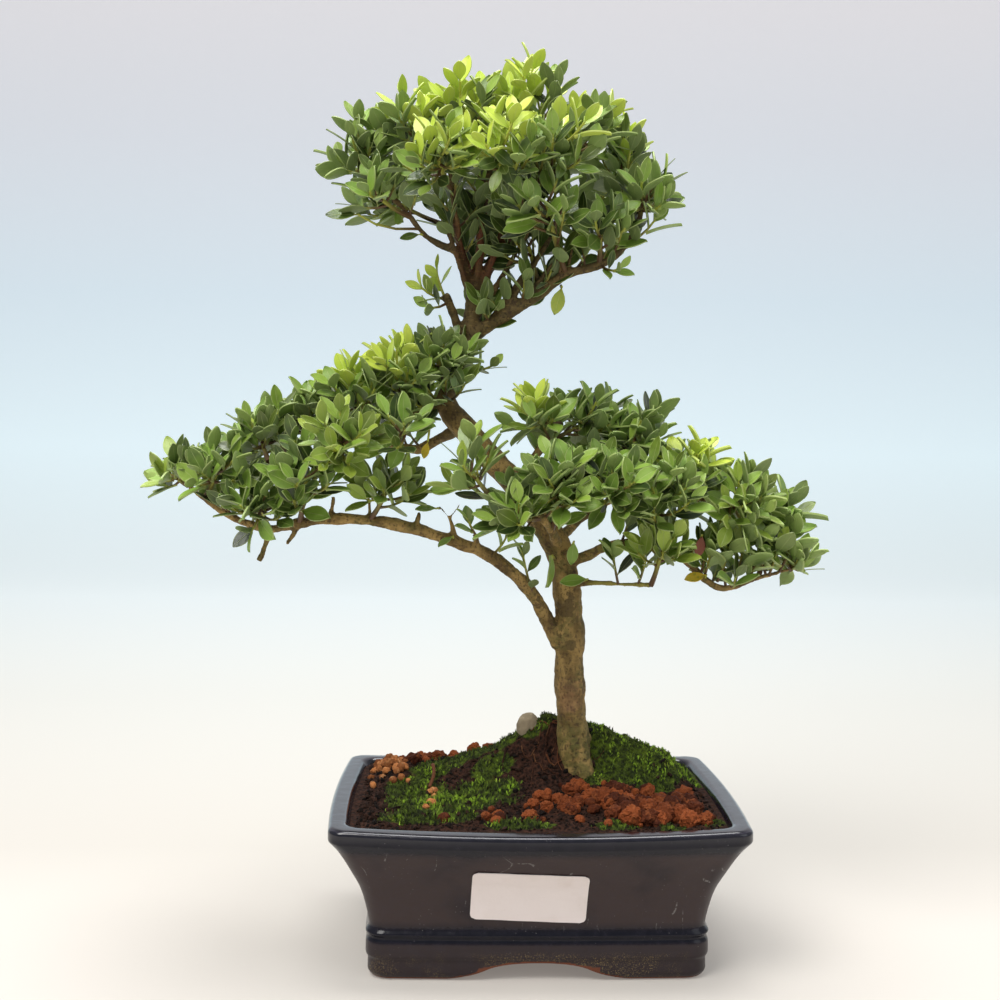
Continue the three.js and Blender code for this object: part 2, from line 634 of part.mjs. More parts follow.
/** The leaves of one shoot, from its tip back, turned by the golden angle from one to the next. */
function planLeaves(line, length, youth, draw) {
  const leaves = [];
  const axis = line.getTangent(0);
  const start = draw() * Math.PI * 2;
  const count = LEAF_ORDER.fewest + Math.floor(draw() * LEAF_ORDER.more);
  for (let j = 0; j < count; j += 1) {
    const place = 1 - (j * (LEAF_ORDER.step + LEAF_ORDER.stepGrowth * j)) / length;
    const opening = LEAF_ORDER.spread + LEAF_ORDER.spreadGrowth * Math.min(j, LEAF_ORDER.spreadUntil);
    const spread = opening + between(draw, -LEAF_ORDER.spreadWobble, LEAF_ORDER.spreadWobble);
    const older = Math.min(1, LEAF_ORDER.firstSize + LEAF_ORDER.sizeGrowth * j);
    const grown = j === 0 ? LEAF_ORDER.tipSize : older;
    const size = between(draw, ...LEAF_ORDER.sizes) * grown;
    const roll = between(draw, -LEAF_ORDER.roll, LEAF_ORDER.roll);
    if (place < LEAF_ORDER.lowest) continue;
    const out = aroundAxis(axis, start + j * GOLDEN_TURN);
    const along = leaning(axis, out, spread).addScaledVector(UP, LEAF_ORDER.lift).normalize();
    leaves.push({
      order: j,
      base: line.getPoint(place),
      along,
      face: leafFace(axis, out, along, roll),
      length: LEAF.length * size,
      width: LEAF.width * size * (1 - LEAF.youngNarrower * youth),
    });
  }
  return leaves;
}

/** Which way a blade's upper side looks: up, on along the shoot and in towards it, turned by a roll. */
function leafFace(axis, out, along, roll) {
  const face = axis.clone().multiplyScalar(FACE.onwards)
    .addScaledVector(UP, FACE.up)
    .addScaledVector(out, -FACE.inwards);
  face.addScaledVector(along, -face.dot(along)).normalize();
  const breadth = along.clone().cross(face);
  return face.multiplyScalar(Math.cos(roll)).addScaledVector(breadth, Math.sin(roll));
}

/** A three-sided bar through given rings, each with its middle, sides' half widths and keel. */
function keeledBar(rings) {
  const geometry = new THREE.CylinderGeometry(1, 1, 1, 3, rings.length - 1);
  const position = geometry.attributes.position;
  const corners = [[0, -1], [1, 0.5], [-1, 0.5]];
  for (let i = 0; i < position.count; i += 1) {
    const ring = rings[Math.round((position.getY(i) + 0.5) * (rings.length - 1))];
    const turn = Math.round((Math.atan2(position.getX(i), position.getZ(i)) / (Math.PI * 2)) * 3 + 3) % 3;
    const onAxis = Math.hypot(position.getX(i), position.getZ(i)) < 0.5;
    const [sideways, upwards] = onAxis ? corners[0] : corners[turn];
    const point = ring.middle.clone()
      .addScaledVector(ring.breadth, sideways * ring.half)
      .addScaledVector(ring.face, upwards * ring.keel);
    position.setXYZ(i, point.x, point.y, point.z);
  }
  return toSolid(geometry);
}

/** The rings of a blade: its stalk end, its two widest places and its point. */
function bladeRings({ base, along, face, length, width }, extra) {
  const breadth = along.clone().cross(face);
  const ring = (place, half, keel) => ({
    middle: base.clone().addScaledVector(along, place * length)
      .addScaledVector(face, -LEAF.curl * length * place * place),
    breadth,
    face,
    half,
    keel,
  });
  // A keel of two thirds makes the triangular section as deep as the blade is thick
  const keel = (LEAF.thick * 2) / 3 + extra;
  return [
    ring(0, LEAF.stalk, LEAF.stalk),
    ring(LEAF.shoulder, width * LEAF.shoulderWidth + extra, keel),
    ring(LEAF.widest, width / 2 + extra, keel * 0.9),
    ring(1 + extra / length, 0, 0),
  ];
}

/** One leaf on its stalk: pointed at both ends, widest past the middle, thickest on the rib. */
function makeLeaf(leaf, extra = 0) {
  return keeledBar(bladeRings(leaf, extra));
}

/** Bare wood through given places, which ends in a leaf. */
function leafyBar(places, last, extra) {
  const rings = bladeRings(last, extra).slice(1);
  let breadth = last.along.clone().cross(last.face);
  for (const { middle, tangent, radius } of places.toReversed()) {
    breadth = breadth.clone().addScaledVector(tangent, -breadth.dot(tangent)).normalize();
    const face = breadth.clone().cross(tangent);
    rings.unshift({ middle, breadth, face, half: radius + extra, keel: radius + extra });
  }
  return keeledBar(rings);
}

/** A shoot that ends in the leaf at its tip. */
function makeShoot({ line, leaves }, extra = 0) {
  const tangent = line.getTangent(0);
  return leafyBar([
    { middle: line.getPoint(0), tangent, radius: SHOOT.foot },
    { middle: line.getPoint(SHOOT.end), tangent, radius: SHOOT.tip },
  ], leaves[0], extra);
}

/** The stem of a spray, from its limb to the tip of its first shoot. */
function makeStem({ stem, shoots }, extra = 0) {
  const { line, leaves } = shoots[0];
  const onwards = line.getTangent(0);
  const turning = stem.getTangent(1).add(onwards).normalize();
  return leafyBar([
    { middle: stem.getPoint(0), tangent: stem.getTangent(0), radius: SHOOT.stem },
    { middle: stem.getPoint(0.5), tangent: stem.getTangent(0.5), radius: SHOOT.stem },
    { middle: stem.getPoint(1), tangent: turning, radius: SHOOT.stemTip },
    { middle: line.getPoint(SHOOT.end), tangent: onwards, radius: SHOOT.tip },
  ], leaves[0], extra);
}

/** Whether a solid keeps clear of every solid in a list, by their boxes first. */
function isClear(solid, others) {
  const box = solid.boundingBox();
  for (const other of others) {
    const apart = [0, 1, 2].some((k) => box.max[k] < other.box.min[k] || box.min[k] > other.box.max[k]);
    if (!apart && solid.intersect(other.solid).volume() > 1e-6) return false;
  }
  return true;
}

// The seed of the first spray's random draws, and the step to the next spray's
const FIRST_SEED = 101;
const SEED_STEP = 37;
// The side shoots that grow besides the first one, and the leaves of a shoot that are tried until one fits
const SIDE_SHOOTS = [2, 3, 5];
const SIDE_LEAVES = [4, 5, 6, 3];

/** All sprays at once, because no leaf of one may touch the wood or the leaves of another. */
function makeSprays(wood) {
  const plans = SPRAYS.map((row, index) => planSpray(row, FIRST_SEED + index * SEED_STEP));
  const placed = [];
  const take = (solid, spray, shoot) => placed.push({ solid, box: solid.boundingBox(), spray, shoot });
  for (const plan of plans) {
    plan.solids = [makeStem(plan)];
    plan.shoots[0].grown = true;
    take(makeStem(plan, LEAF.keepOff), plan.name, 0);
  }
  for (const plan of plans) {
    for (const number of SIDE_SHOOTS.filter((one) => one < plan.shoots.length)) {
      const shoot = plan.shoots[number];
      const others = placed.filter(({ spray, shoot: other }) => spray !== plan.name || other > 0);
      shoot.grown = isClear(makeShoot(shoot), others);
      if (shoot.grown) {
        plan.solids.push(makeShoot(shoot));
        take(makeShoot(shoot, LEAF.keepOff), plan.name, number);
      }
    }
  }
  for (const plan of plans) {
    plan.shoots.forEach(({ leaves, grown }, number) => {
      if (!grown) return;
      const others = placed.filter(({ spray, shoot }) => spray !== plan.name || shoot !== number);
      const fitting = SIDE_LEAVES.map((order) => leaves.find((leaf) => leaf.order === order))
        .find((leaf) => leaf && isClear(makeLeaf(leaf, LEAF.keepOff), others));
      if (!fitting) return;
      plan.solids.push(makeLeaf(fitting));
      take(makeLeaf(fitting, LEAF.keepOff), plan.name, -1);
    });
  }
  return plans.map(({ name, solids, youth }) => {
    const color = OLD_LEAF.clone().lerp(YOUNG_LEAF, youth);
    const solid = mainPiece(joined(solids).subtract(wood));
    return toMesh(`spray_${name}`, solid, { color, roughness: 0.5, metalness: 0 });
  });
}

/** A heap of clay lumps, each one sunk a little into one that lies there already. */
function makeLumps({ count, low, high, area, seed }) {
  const draw = seeded(seed);
  const lumps = [];
  const solids = [];
  for (let tries = 0; lumps.length < count && tries < LUMP.tries; tries += 1) {
    const radius = between(draw, low, high) / 2;
    const x = between(draw, area[0], area[1]);
    const y = between(draw, area[2], area[3]);
    const near = lumps.map((lump) => Math.hypot(lump.x - x, lump.y - y) / (lump.radius + radius));
    const closest = Math.min(...near);
    if (lumps.length > 0 && (closest < LUMP.closest || closest > LUMP.farthest)) continue;
    lumps.push({ x, y, radius });
    const lump = new THREE.IcosahedronGeometry(radius, 0);
    lump.rotateX(draw() * Math.PI * 2);
    lump.rotateY(draw() * Math.PI * 2);
    lump.scale(1, between(draw, 0.85, 1.1), between(draw, 0.8, 1));
    lump.translate(x, y, soilHeight(x, y) + radius * LUMP.sunk);
    solids.push(toSolid(lump));
  }
  return joined(solids);
}

const LUMP_HEAPS = {
  clay_lumps_right: { count: 15, low: 8, high: 11, area: [4, 72, -52, -26], seed: 5, finish: RED_CLAY },
  clay_lumps_back_left: { count: 5, low: 8, high: 10, area: [-60, -38, 42, 56], seed: 8, finish: RED_CLAY },
  ochre_lumps_left: { count: 6, low: 6.5, high: 9, area: [-76, -62, 26, 50], seed: 13, finish: OCHRE_CLAY },
};

function makeStone() {
  const stone = new THREE.IcosahedronGeometry(1, 1);
  stone.scale(...STONE.half);
  stone.translate(STONE.x, STONE.y, STONE.z);
  return toSolid(stone);
}

/** A block with the label's rounded outline, which reaches through the front of the pot. */
function labelBlock() {
  const { width, height, corner } = LABEL;
  const outline = new THREE.Shape();
  const [w, h] = [width / 2, height / 2];
  outline.moveTo(-w + corner, -h);
  outline.lineTo(w - corner, -h);
  outline.quadraticCurveTo(w, -h, w, -h + corner);
  outline.lineTo(w, h - corner);
  outline.quadraticCurveTo(w, h, w - corner, h);
  outline.lineTo(-w + corner, h);
  outline.quadraticCurveTo(-w, h, -w, h - corner);
  outline.lineTo(-w, -h + corner);
  outline.quadraticCurveTo(-w, -h, -w + corner, -h);
  const settings = { depth: LABEL.reach, bevelEnabled: false, curveSegments: 2 };
  const block = new THREE.ExtrudeGeometry(outline, settings);
  block.rotateX(Math.PI / 2);
  block.rotateY(THREE.MathUtils.degToRad(-LABEL.tilt));
  block.translate(LABEL.x, -POT.depth / 2 + LABEL.reach, LABEL.z);
  return toSolid(block);
}

/** The flare of the pot's outer surface moved outwards, as a plain solid without feet or hollow. */
function potFlare(outwards) {
  const wall = POT_OUTSIDE.filter(([, z]) => z > FLARE.bottom && z < FLARE.top);
  const profile = [[0, FLARE.bottom], ...wall.map(([inset, z]) => [inset - outwards, z]), [0, FLARE.top]];
  return ringBody(profile, settle);
}

/** The blank paper label, which follows the flare of the pot's front. */
function makeLabel() {
  return labelBlock()
    .intersect(potFlare(CLEARANCE + LABEL.thick))
    .subtract(potFlare(CLEARANCE));
}

/** A square plastic net over a drain hole. */
function makeScreen(x) {
  const sheet = new THREE.BoxGeometry(SCREEN.side, SCREEN.side, SCREEN.thick);
  sheet.translate(x, 0, POT.floor + CLEARANCE + SCREEN.thick / 2);
  let net = toSolid(sheet);
  for (const row of [-1, 1]) {
    for (const column of [-1, 1]) {
      const hole = new THREE.BoxGeometry(SCREEN.hole, SCREEN.hole, SCREEN.thick * 4);
      hole.translate(x + column * SCREEN.pitch, row * SCREEN.pitch, POT.floor);
      net = net.subtract(toSolid(hole));
    }
  }
  return net;
}

/** Room in the soil for a screen that lies on the pot's floor. */
function screenRoom(x) {
  const side = SCREEN.side + CLEARANCE * 2;
  const tall = (SCREEN.thick + CLEARANCE * 2) * 2;
  const room = new THREE.BoxGeometry(side, side, tall);
  room.translate(x, 0, POT.floor);
  return toSolid(room);
}

const bonsai = new THREE.Group();
const plant = new THREE.Group();
bonsai.add(plant);

const wood = makeTrunk(0);
const woodWithRoom = makeTrunk(CLEARANCE);
const stone = makeStone();
const raisedSoil = makeSoil(CLEARANCE);

plant.add(toMesh('pot', makePot(), GLAZE));
let soil = makeSoil(0).subtract(woodWithRoom);
for (const side of [-1, 1]) {
  const x = side * POT.drainOffset;
  soil = soil.subtract(screenRoom(x));
  plant.add(toMesh(side < 0 ? 'drain_screen_left' : 'drain_screen_right', makeScreen(x), PLASTIC_NET));
}
plant.add(toMesh('soil', soil, EARTH));
plant.add(toMesh('label', makeLabel(), PAPER));
plant.add(toMesh('stone', mainPiece(stone.subtract(raisedSoil)), PEBBLE));
for (const [name, heap] of Object.entries(LUMP_HEAPS)) {
  plant.add(toMesh(name, mainPiece(makeLumps(heap).subtract(raisedSoil)), heap.finish));
}
plant.add(toMesh('trunk', wood, BARK));
plant.add(...makeSprays(woodWithRoom));

// The frame stands at the bottom middle of the whole tree and pot
const middle = new THREE.Box3().setFromObject(plant).getCenter(new THREE.Vector3());
plant.position.set(-middle.x, -middle.y, 0);

export default bonsai;
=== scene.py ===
"""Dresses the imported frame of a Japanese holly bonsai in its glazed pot.

Tables are in millimetres in the pot's own frame: X along the pot, its front towards -Y, Z up from its foot.
"""
import logging
import math
from collections.abc import Callable, Iterator, Sequence
from contextlib import contextmanager
from dataclasses import dataclass, field
from enum import Enum

import bpy
import numpy as np
from bpy.types import Material, Object
from mathutils import Matrix, Vector, noise


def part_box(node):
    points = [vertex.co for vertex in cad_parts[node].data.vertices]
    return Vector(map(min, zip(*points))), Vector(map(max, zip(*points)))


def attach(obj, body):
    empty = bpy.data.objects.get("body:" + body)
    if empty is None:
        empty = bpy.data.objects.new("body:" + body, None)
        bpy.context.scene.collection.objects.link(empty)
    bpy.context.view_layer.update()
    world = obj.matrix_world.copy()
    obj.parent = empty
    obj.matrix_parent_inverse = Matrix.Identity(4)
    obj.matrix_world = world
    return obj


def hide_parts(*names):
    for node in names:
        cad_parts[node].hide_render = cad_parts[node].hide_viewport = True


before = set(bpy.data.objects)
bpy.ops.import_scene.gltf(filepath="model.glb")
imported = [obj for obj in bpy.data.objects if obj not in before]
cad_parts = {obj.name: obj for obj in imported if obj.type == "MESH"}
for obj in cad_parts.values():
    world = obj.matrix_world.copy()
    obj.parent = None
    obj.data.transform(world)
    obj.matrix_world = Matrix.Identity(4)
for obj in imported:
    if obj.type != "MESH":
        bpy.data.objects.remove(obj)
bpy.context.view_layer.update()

LOG = logging.getLogger("bonsai")
MM = 0.001
WORD = 0xFFFFFFFF
STRIDE = 0x6D2B79F5
GOLDEN_TURN = 2.39996
POT_LOW, POT_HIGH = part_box("pot")
POT_MIDDLE = np.array([(POT_LOW.x + POT_HIGH.x) / 2, (POT_LOW.y + POT_HIGH.y) / 2, 0.0])
UP = np.array([0.0, 0.0, 1.0])
TURN_START = np.array([0.36, 0.93, 0.05])

Point = tuple[float, float, float]
Colour = tuple[float, float, float]
# Lowest and highest X, then lowest and highest Y
Area = tuple[float, float, float, float]
# The middle in X and Y, then the half sizes
Patch = tuple[float, float, float, float]
# The faces round each corner of the pot, along its front and along its side
Steps = tuple[int, int, int]

# Each limb's radii, evenly spaced from its foot to its tip, and the points through which it runs
LIMBS: dict[str, tuple[list[float], list[Point]]] = {
    "trunk": (
        [7, 7.9, 8.2, 7.8, 7.4, 7.2, 7, 6.9, 6.7, 6.4, 6.2, 6, 5.9, 5.7, 4.6, 3.7, 3.8, 4.2, 3.4],
        [(22, 10, 48), (21, 9, 62), (21, 8, 75), (20, 8, 94), (18, 7, 114), (17, 6, 134), (17, 5, 151),
         (15, 4, 168), (12, 3, 185), (4, 2, 199), (-8, 2, 216), (-20, 0, 229), (-32, -2, 242),
         (-43, -2, 255), (-43, 0, 264), (-36, 2, 275), (-33, 3, 287), (-32, 3, 299), (-31, 4, 311)],
    ),
    "leftLow": (
        [3.6, 3.5, 3.3, 3, 2.8, 2.5, 2.2, 1.7, 1.1],
        [(12, 5, 141), (6, 3, 153), (0, 0, 164), (-9, -4, 175), (-22, -8, 185), (-39, -10, 192),
         (-58, -12, 198), (-79, -12, 202), (-98, -10, 202), (-112, -8, 200), (-126, -6, 197),
         (-143, -5, 202), (-157, -5, 211), (-164, -6, 217)],
    ),
    "leftUp": (
        [3, 2.4, 2.2, 1.8, 1.1],
        [(-43, -3, 255), (-51, -6, 255), (-61, -10, 251), (-70, -14, 245), (-81, -18, 239),
         (-95, -20, 236), (-108, -20, 232), (-125, -18, 229)],
    ),
    "leftBack": (
        [3, 2.3, 2, 1.1],
        [(-36, -1, 246), (-47, 12, 240), (-57, 20, 235), (-67, 28, 236), (-82, 34, 239),
         (-99, 36, 236), (-117, 34, 232)],
    ),
    "rightMain": (
        [3, 2.4, 2.2, 2, 1.5, 0.9],
        [(14, 3, 181), (24, 0, 185), (31, -3, 189), (41, -8, 192), (55, -12, 191), (69, -14, 185),
         (78, -16, 176), (88, -17, 172), (103, -18, 177), (118, -17, 181)],
    ),
    "rightUp": (
        [2.6, 2.1, 1.8, 1],
        [(4, 2, 199), (13, -6, 212), (24, -12, 222), (38, -16, 223), (54, -18, 221), (70, -18, 216),
         (85, -16, 211)],
    ),
    "rightBack": (
        [2.6, 2, 1.7, 1],
        [(9, 4, 190), (22, 18, 201), (38, 28, 210), (56, 34, 213), (75, 38, 210), (93, 36, 204)],
    ),
    "rightFront": (
        [2.4, 1.9, 1.5, 0.9],
        [(11, 2, 188), (6, -16, 198), (0, -30, 205), (-10, -38, 211), (-20, -42, 212)],
    ),
    "rightTop": ([2.4, 1.7, 1.1], [(-8, 2, 216), (-4, -4, 228), (3, -8, 240), (10, -8, 248)]),
    "rightStub": ([1.6, 1.3, 1.2], [(15, 2, 171), (25, -8, 173), (36, -12, 173), (53, -16, 173)]),
    "crownRight": (
        [3.4, 3.1, 2.6, 2, 1.2],
        [(-33, 3, 287), (-26, 0, 293), (-19, -4, 297), (-10, -8, 303), (0, -12, 309), (11, -16, 317),
         (26, -20, 321), (37, -20, 329), (44, -18, 341)],
    ),
    "crownLeft": (
        [2.4, 1.8, 1.6, 1.1],
        [(-32, 4, 309), (-35, 0, 320), (-38, -4, 331), (-40, -7, 342), (-42, -8, 356), (-44, -8, 370)],
    ),
    "crownLeftOut": (
        [2, 1.5, 1.3, 0.9],
        [(-37, -3, 328), (-46, -8, 330), (-54, -12, 334), (-61, -16, 342), (-68, -18, 349), (-77, -16, 355)],
    ),
    "crownMid": (
        [3.2, 3.1, 2.4, 1.8, 1.1],
        [(-32, 4, 307), (-30, 8, 325), (-28, 10, 338), (-27, 10, 352), (-24, 8, 368), (-21, 6, 382)],
    ),
    "crownBack": (
        [2.6, 2, 1.6, 1],
        [(-31, 4, 309), (-23, 14, 326), (-17, 24, 339), (-10, 30, 353), (-4, 34, 366)],
    ),
    "crownInner": (
        [2.6, 2, 1.6, 1],
        [(-31, 4, 308), (-21, 0, 327), (-15, -6, 335), (-7, -12, 347), (1, -14, 360), (8, -14, 372)],
    ),
    "crownBackLeft": ([2.2, 1.8, 1.4, 1], [(-31, 5, 310), (-37, 18, 332), (-45, 28, 345), (-53, 34, 360)]),
    "stubLeft": ([2.2, 2.1, 2], [(-34, 4, 282), (-38, 3, 291), (-42, 0, 303), (-45, -1, 308)]),
}

# Pruned twigs, inner branches and the root flare: where each starts and ends, and how thick it is at both
STUBS: list[tuple[Point, Point, float, float]] = [
    ((-126, -6, 197), (-131, -6, 182), 1.6, 1.3), ((-112, -8, 200), (-118, -9, 190), 1.1, 0.9),
    ((-79, -12, 202), (-80, -12, 214), 1.3, 1.0), ((-98, -10, 202), (-96, -11, 213), 1.2, 1.0),
    ((-58, -12, 198), (-56, -13, 206), 1.2, 1.0),
    ((20, 8, 96), (26, 2, 74), 6.2, 4.2), ((20, 8, 100), (29, 18, 88), 5.4, 3.0),
    ((20, 8, 100), (11, 17, 92), 5.0, 3.0),
    ((16, 4, 160), (11, -3, 163), 3.0, 2.4),
    ((-39, -10, 192), (-42, -11, 204), 1.5, 1.1), ((-42, -11, 203), (-37, -13, 210), 0.9, 0.7),
    ((-42, -11, 203), (-47, -12, 209), 0.9, 0.6), ((-28, -9, 188), (-30, -12, 196), 1.3, 1.0),
    ((-31, 3, 302), (-28, -8, 346), 2.3, 1.3), ((-30, 3, 302), (-17, -10, 345), 2.2, 1.3),
    ((-29, 2, 299), (-6, -14, 338), 2.0, 1.2), ((-26, 0, 293), (4, -16, 334), 1.9, 1.1),
    ((-32, 3, 304), (-45, -12, 340), 1.8, 1.1), ((-19, -4, 298), (2, -18, 330), 1.6, 1.0),
    ((-10, -8, 303), (14, -22, 334), 1.5, 0.9), ((11, -16, 317), (16, -22, 343), 1.3, 0.8),
]

# Each spray's name, its limb and the limb's point at its root, its middle, its half sizes, its shoots and how
# much of it is this year's growth
SPRAYS: list[tuple[str, str, int, Point, Point, int, float]] = [
    ("crown_peak_right", "crownInner", 5, (-7, -8, 398), (16, 15, 14), 6, 1),
    ("crown_peak_left", "crownMid", 5, (-38, -4, 394), (16, 15, 12), 6, 1),
    ("crown_shoulder_left", "crownLeft", 5, (-64, -10, 383), (14, 14, 12), 5, 0.6),
    ("crown_left_tip", "crownLeftOut", 5, (-84, -6, 368), (13, 14, 14), 6, 0.1),
    ("crown_left_low", "crownLeftOut", 3, (-76, -26, 350), (14, 14, 10), 5, 0),
    ("crown_shoulder_right", "crownInner", 4, (22, -12, 385), (14, 14, 11), 5, 0.65),
    ("crown_right_high", "crownRight", 7, (38, 4, 376), (13, 15, 14), 6, 0.65),
    ("crown_right_tip", "crownRight", 8, (46, -18, 350), (12, 14, 14), 6, 0.1),
    ("crown_right_low", "crownRight", 6, (26, -26, 336), (14, 14, 9), 5, 0),
    ("crown_front_low", "crownRight", 5, (0, -42, 345), (16, 12, 13), 5, 0),
    ("crown_front", "crownInner", 3, (-20, -46, 368), (16, 12, 14), 6, 0.85),
    ("crown_front_left", "crownLeft", 4, (-48, -42, 363), (15, 13, 14), 5, 0.75),
    ("crown_front_right", "crownInner", 2, (6, -44, 370), (14, 12, 14), 5, 0.5),
    ("crown_under", "crownRight", 4, (-6, -10, 330), (13, 12, 10), 5, 0),
    ("crown_top_back", "crownMid", 4, (-20, 26, 397), (16, 15, 13), 6, 1),
    ("crown_back_left", "crownBackLeft", 3, (-50, 42, 379), (16, 14, 14), 6, 0.4),
    ("crown_back_right", "crownBack", 4, (12, 42, 382), (16, 14, 14), 6, 0.5),
    ("crown_back_tip", "crownBack", 3, (34, 34, 356), (14, 15, 14), 5, 0.1),
    ("crown_back", "crownBack", 2, (-14, 52, 362), (15, 11, 14), 5, 0.2),
    ("crown_left_back", "crownBackLeft", 2, (-73, 24, 358), (14, 14, 14), 5, 0.1),
    ("left_tip", "leftLow", 13, (-170, -6, 221), (9, 12, 10), 5, 0.2),
    ("left_outer", "leftLow", 12, (-149, -18, 223), (14, 12, 12), 5, 0.1),
    ("left_outer_top", "leftUp", 7, (-130, -8, 239), (14, 14, 13), 6, 0.1),
    ("left_outer_low", "leftLow", 10, (-128, -24, 209), (15, 12, 14), 6, 0),
    ("left_mid_top", "leftUp", 6, (-108, -2, 250), (14, 14, 12), 5, 0.45),
    ("left_high", "leftUp", 3, (-88, -12, 260), (15, 14, 12), 6, 0.6),
    ("left_front", "leftUp", 5, (-88, -42, 238), (15, 12, 13), 6, 0.3),
    ("left_crest", "leftUp", 2, (-66, -12, 270), (14, 14, 12), 6, 0.7),
    ("left_front_high", "leftUp", 1, (-64, -38, 242), (14, 12, 12), 5, 0),
    ("left_elbow", "trunk", 14, (-48, -8, 277), (13, 14, 10), 5, 0.1),
    ("left_front_low", "leftLow", 9, (-106, -36, 222), (15, 12, 12), 5, 0),
    ("left_inner_low", "leftLow", 7, (-70, -26, 217), (13, 12, 9), 5, 0.2),
    ("left_back_mid", "leftBack", 5, (-98, 38, 250), (15, 14, 12), 6, 0.2),
    ("left_back_outer", "leftBack", 6, (-132, 30, 234), (14, 14, 12), 5, 0.1),
    ("left_back_high", "leftBack", 3, (-66, 36, 262), (15, 14, 13), 6, 0.2),
    ("right_inner_tip", "rightFront", 4, (-32, -42, 226), (10, 10, 14), 5, 0.2),
    ("right_crest_left", "rightTop", 3, (-2, -18, 250), (12, 12, 12), 6, 0.5),
    ("right_crest", "rightTop", 2, (24, 6, 250), (15, 15, 11), 6, 0.1),
    ("right_crest_right", "rightUp", 3, (46, -6, 243), (14, 14, 11), 6, 0.1),
    ("right_front", "rightFront", 1, (8, -44, 222), (15, 12, 13), 6, 0.1),
    ("right_front_left", "rightFront", 2, (-11, -44, 206), (12, 11, 11), 5, 0.1),
    ("right_front_mid", "rightUp", 2, (32, -44, 219), (14, 12, 12), 6, 0),
    ("right_front_outer", "rightMain", 4, (54, -36, 218), (14, 12, 13), 6, 0.1),
    ("right_shoulder", "rightUp", 5, (72, -12, 228), (13, 14, 11), 5, 0.8),
    ("right_outer", "rightUp", 6, (93, -22, 212), (13, 13, 13), 6, 0.2),
    ("right_tip", "rightMain", 8, (111, -6, 201), (12, 13, 13), 6, 0.1),
    ("right_end", "rightMain", 9, (121, -16, 183), (6, 9, 6), 5, 0.1),
    ("right_low", "rightStub", 3, (56, -28, 190), (11, 9, 10), 5, 0.3),
    ("right_back", "rightBack", 2, (36, 40, 232), (17, 15, 13), 6, 0.1),
    ("right_back_outer", "rightBack", 4, (76, 36, 222), (16, 14, 13), 6, 0.1),
]

# Short shoots along the limbs: the limb, the shares of it between which they grow, and their spacing
INNER_SHOOTS: dict[str, list[tuple[str, float, float, float]]] = {
    "crown": [
        ("crownRight", 0.03, 0.45, 4.2), ("crownRight", 0.45, 0.95, 6), ("crownLeft", 0.12, 1.0, 7),
        ("crownLeftOut", 0.55, 1.0, 7),
        ("crownMid", 0.25, 1.0, 6), ("crownBack", 0.1, 1.0, 6.5), ("crownInner", 0.15, 1.0, 6),
        ("crownBackLeft", 0.1, 1.0, 6.5),
    ],
    "left": [
        ("leftUp", 0.2, 1.0, 8), ("leftBack", 0.25, 1.0, 8), ("leftLow", 0.66, 1.0, 8),
    ],
    "right": [
        ("rightUp", 0.2, 1.0, 8), ("rightBack", 0.25, 1.0, 8), ("rightFront", 0.2, 1.0, 7),
        ("rightMain", 0.3, 0.95, 8), ("rightTop", 0.3, 1.0, 7),
    ],
}

# Sprays that count as young leaves
YOUNG_SPRAYS = {
    "crown_peak_right", "crown_peak_left", "crown_shoulder_left", "crown_shoulder_right", "crown_right_high",
    "crown_front", "crown_front_left", "crown_top_back", "crown_back_left", "crown_back_right", "left_tip",
    "left_mid_top", "left_high", "left_crest", "right_crest_left", "right_shoulder",
}

# Sprays that are fuller or barer than the rest: how far they reach of their outline, and their filling shoots
SPARSE_SPRAYS: dict[str, tuple[float, int]] = {
    "crown_right_high": (0.72, 3), "crown_shoulder_right": (0.9, 4), "crown_front_low": (0.95, 3),
    "crown_under": (1.0, 3), "crown_front_right": (1.0, 3), "crown_left_low": (0.8, 1),
    "left_tip": (0.85, 3), "left_front_high": (0.85, 1), "right_crest_left": (0.8, 2),
    "right_inner_tip": (1.0, 1), "right_low": (1.0, 4), "right_end": (0.9, 4), "right_tip": (1.0, 7),
    "right_outer": (1.0, 8), "right_front_outer": (1.0, 6),
}

# Each region's middle, from which its leaves face away and towards which their colour is darkened as painted
# shade, its half sizes and the least painted light of its leaves
HEARTS: dict[str, tuple[Point, Point, float]] = {
    "crown": ((-18.0, 4.0, 342.0), (72.0, 56.0, 60.0), 0.22),
    "left": ((-95.0, 4.0, 216.0), (84.0, 52.0, 50.0), 0.42),
    "right": ((44.0, 2.0, 196.0), (84.0, 52.0, 52.0), 0.78),
}

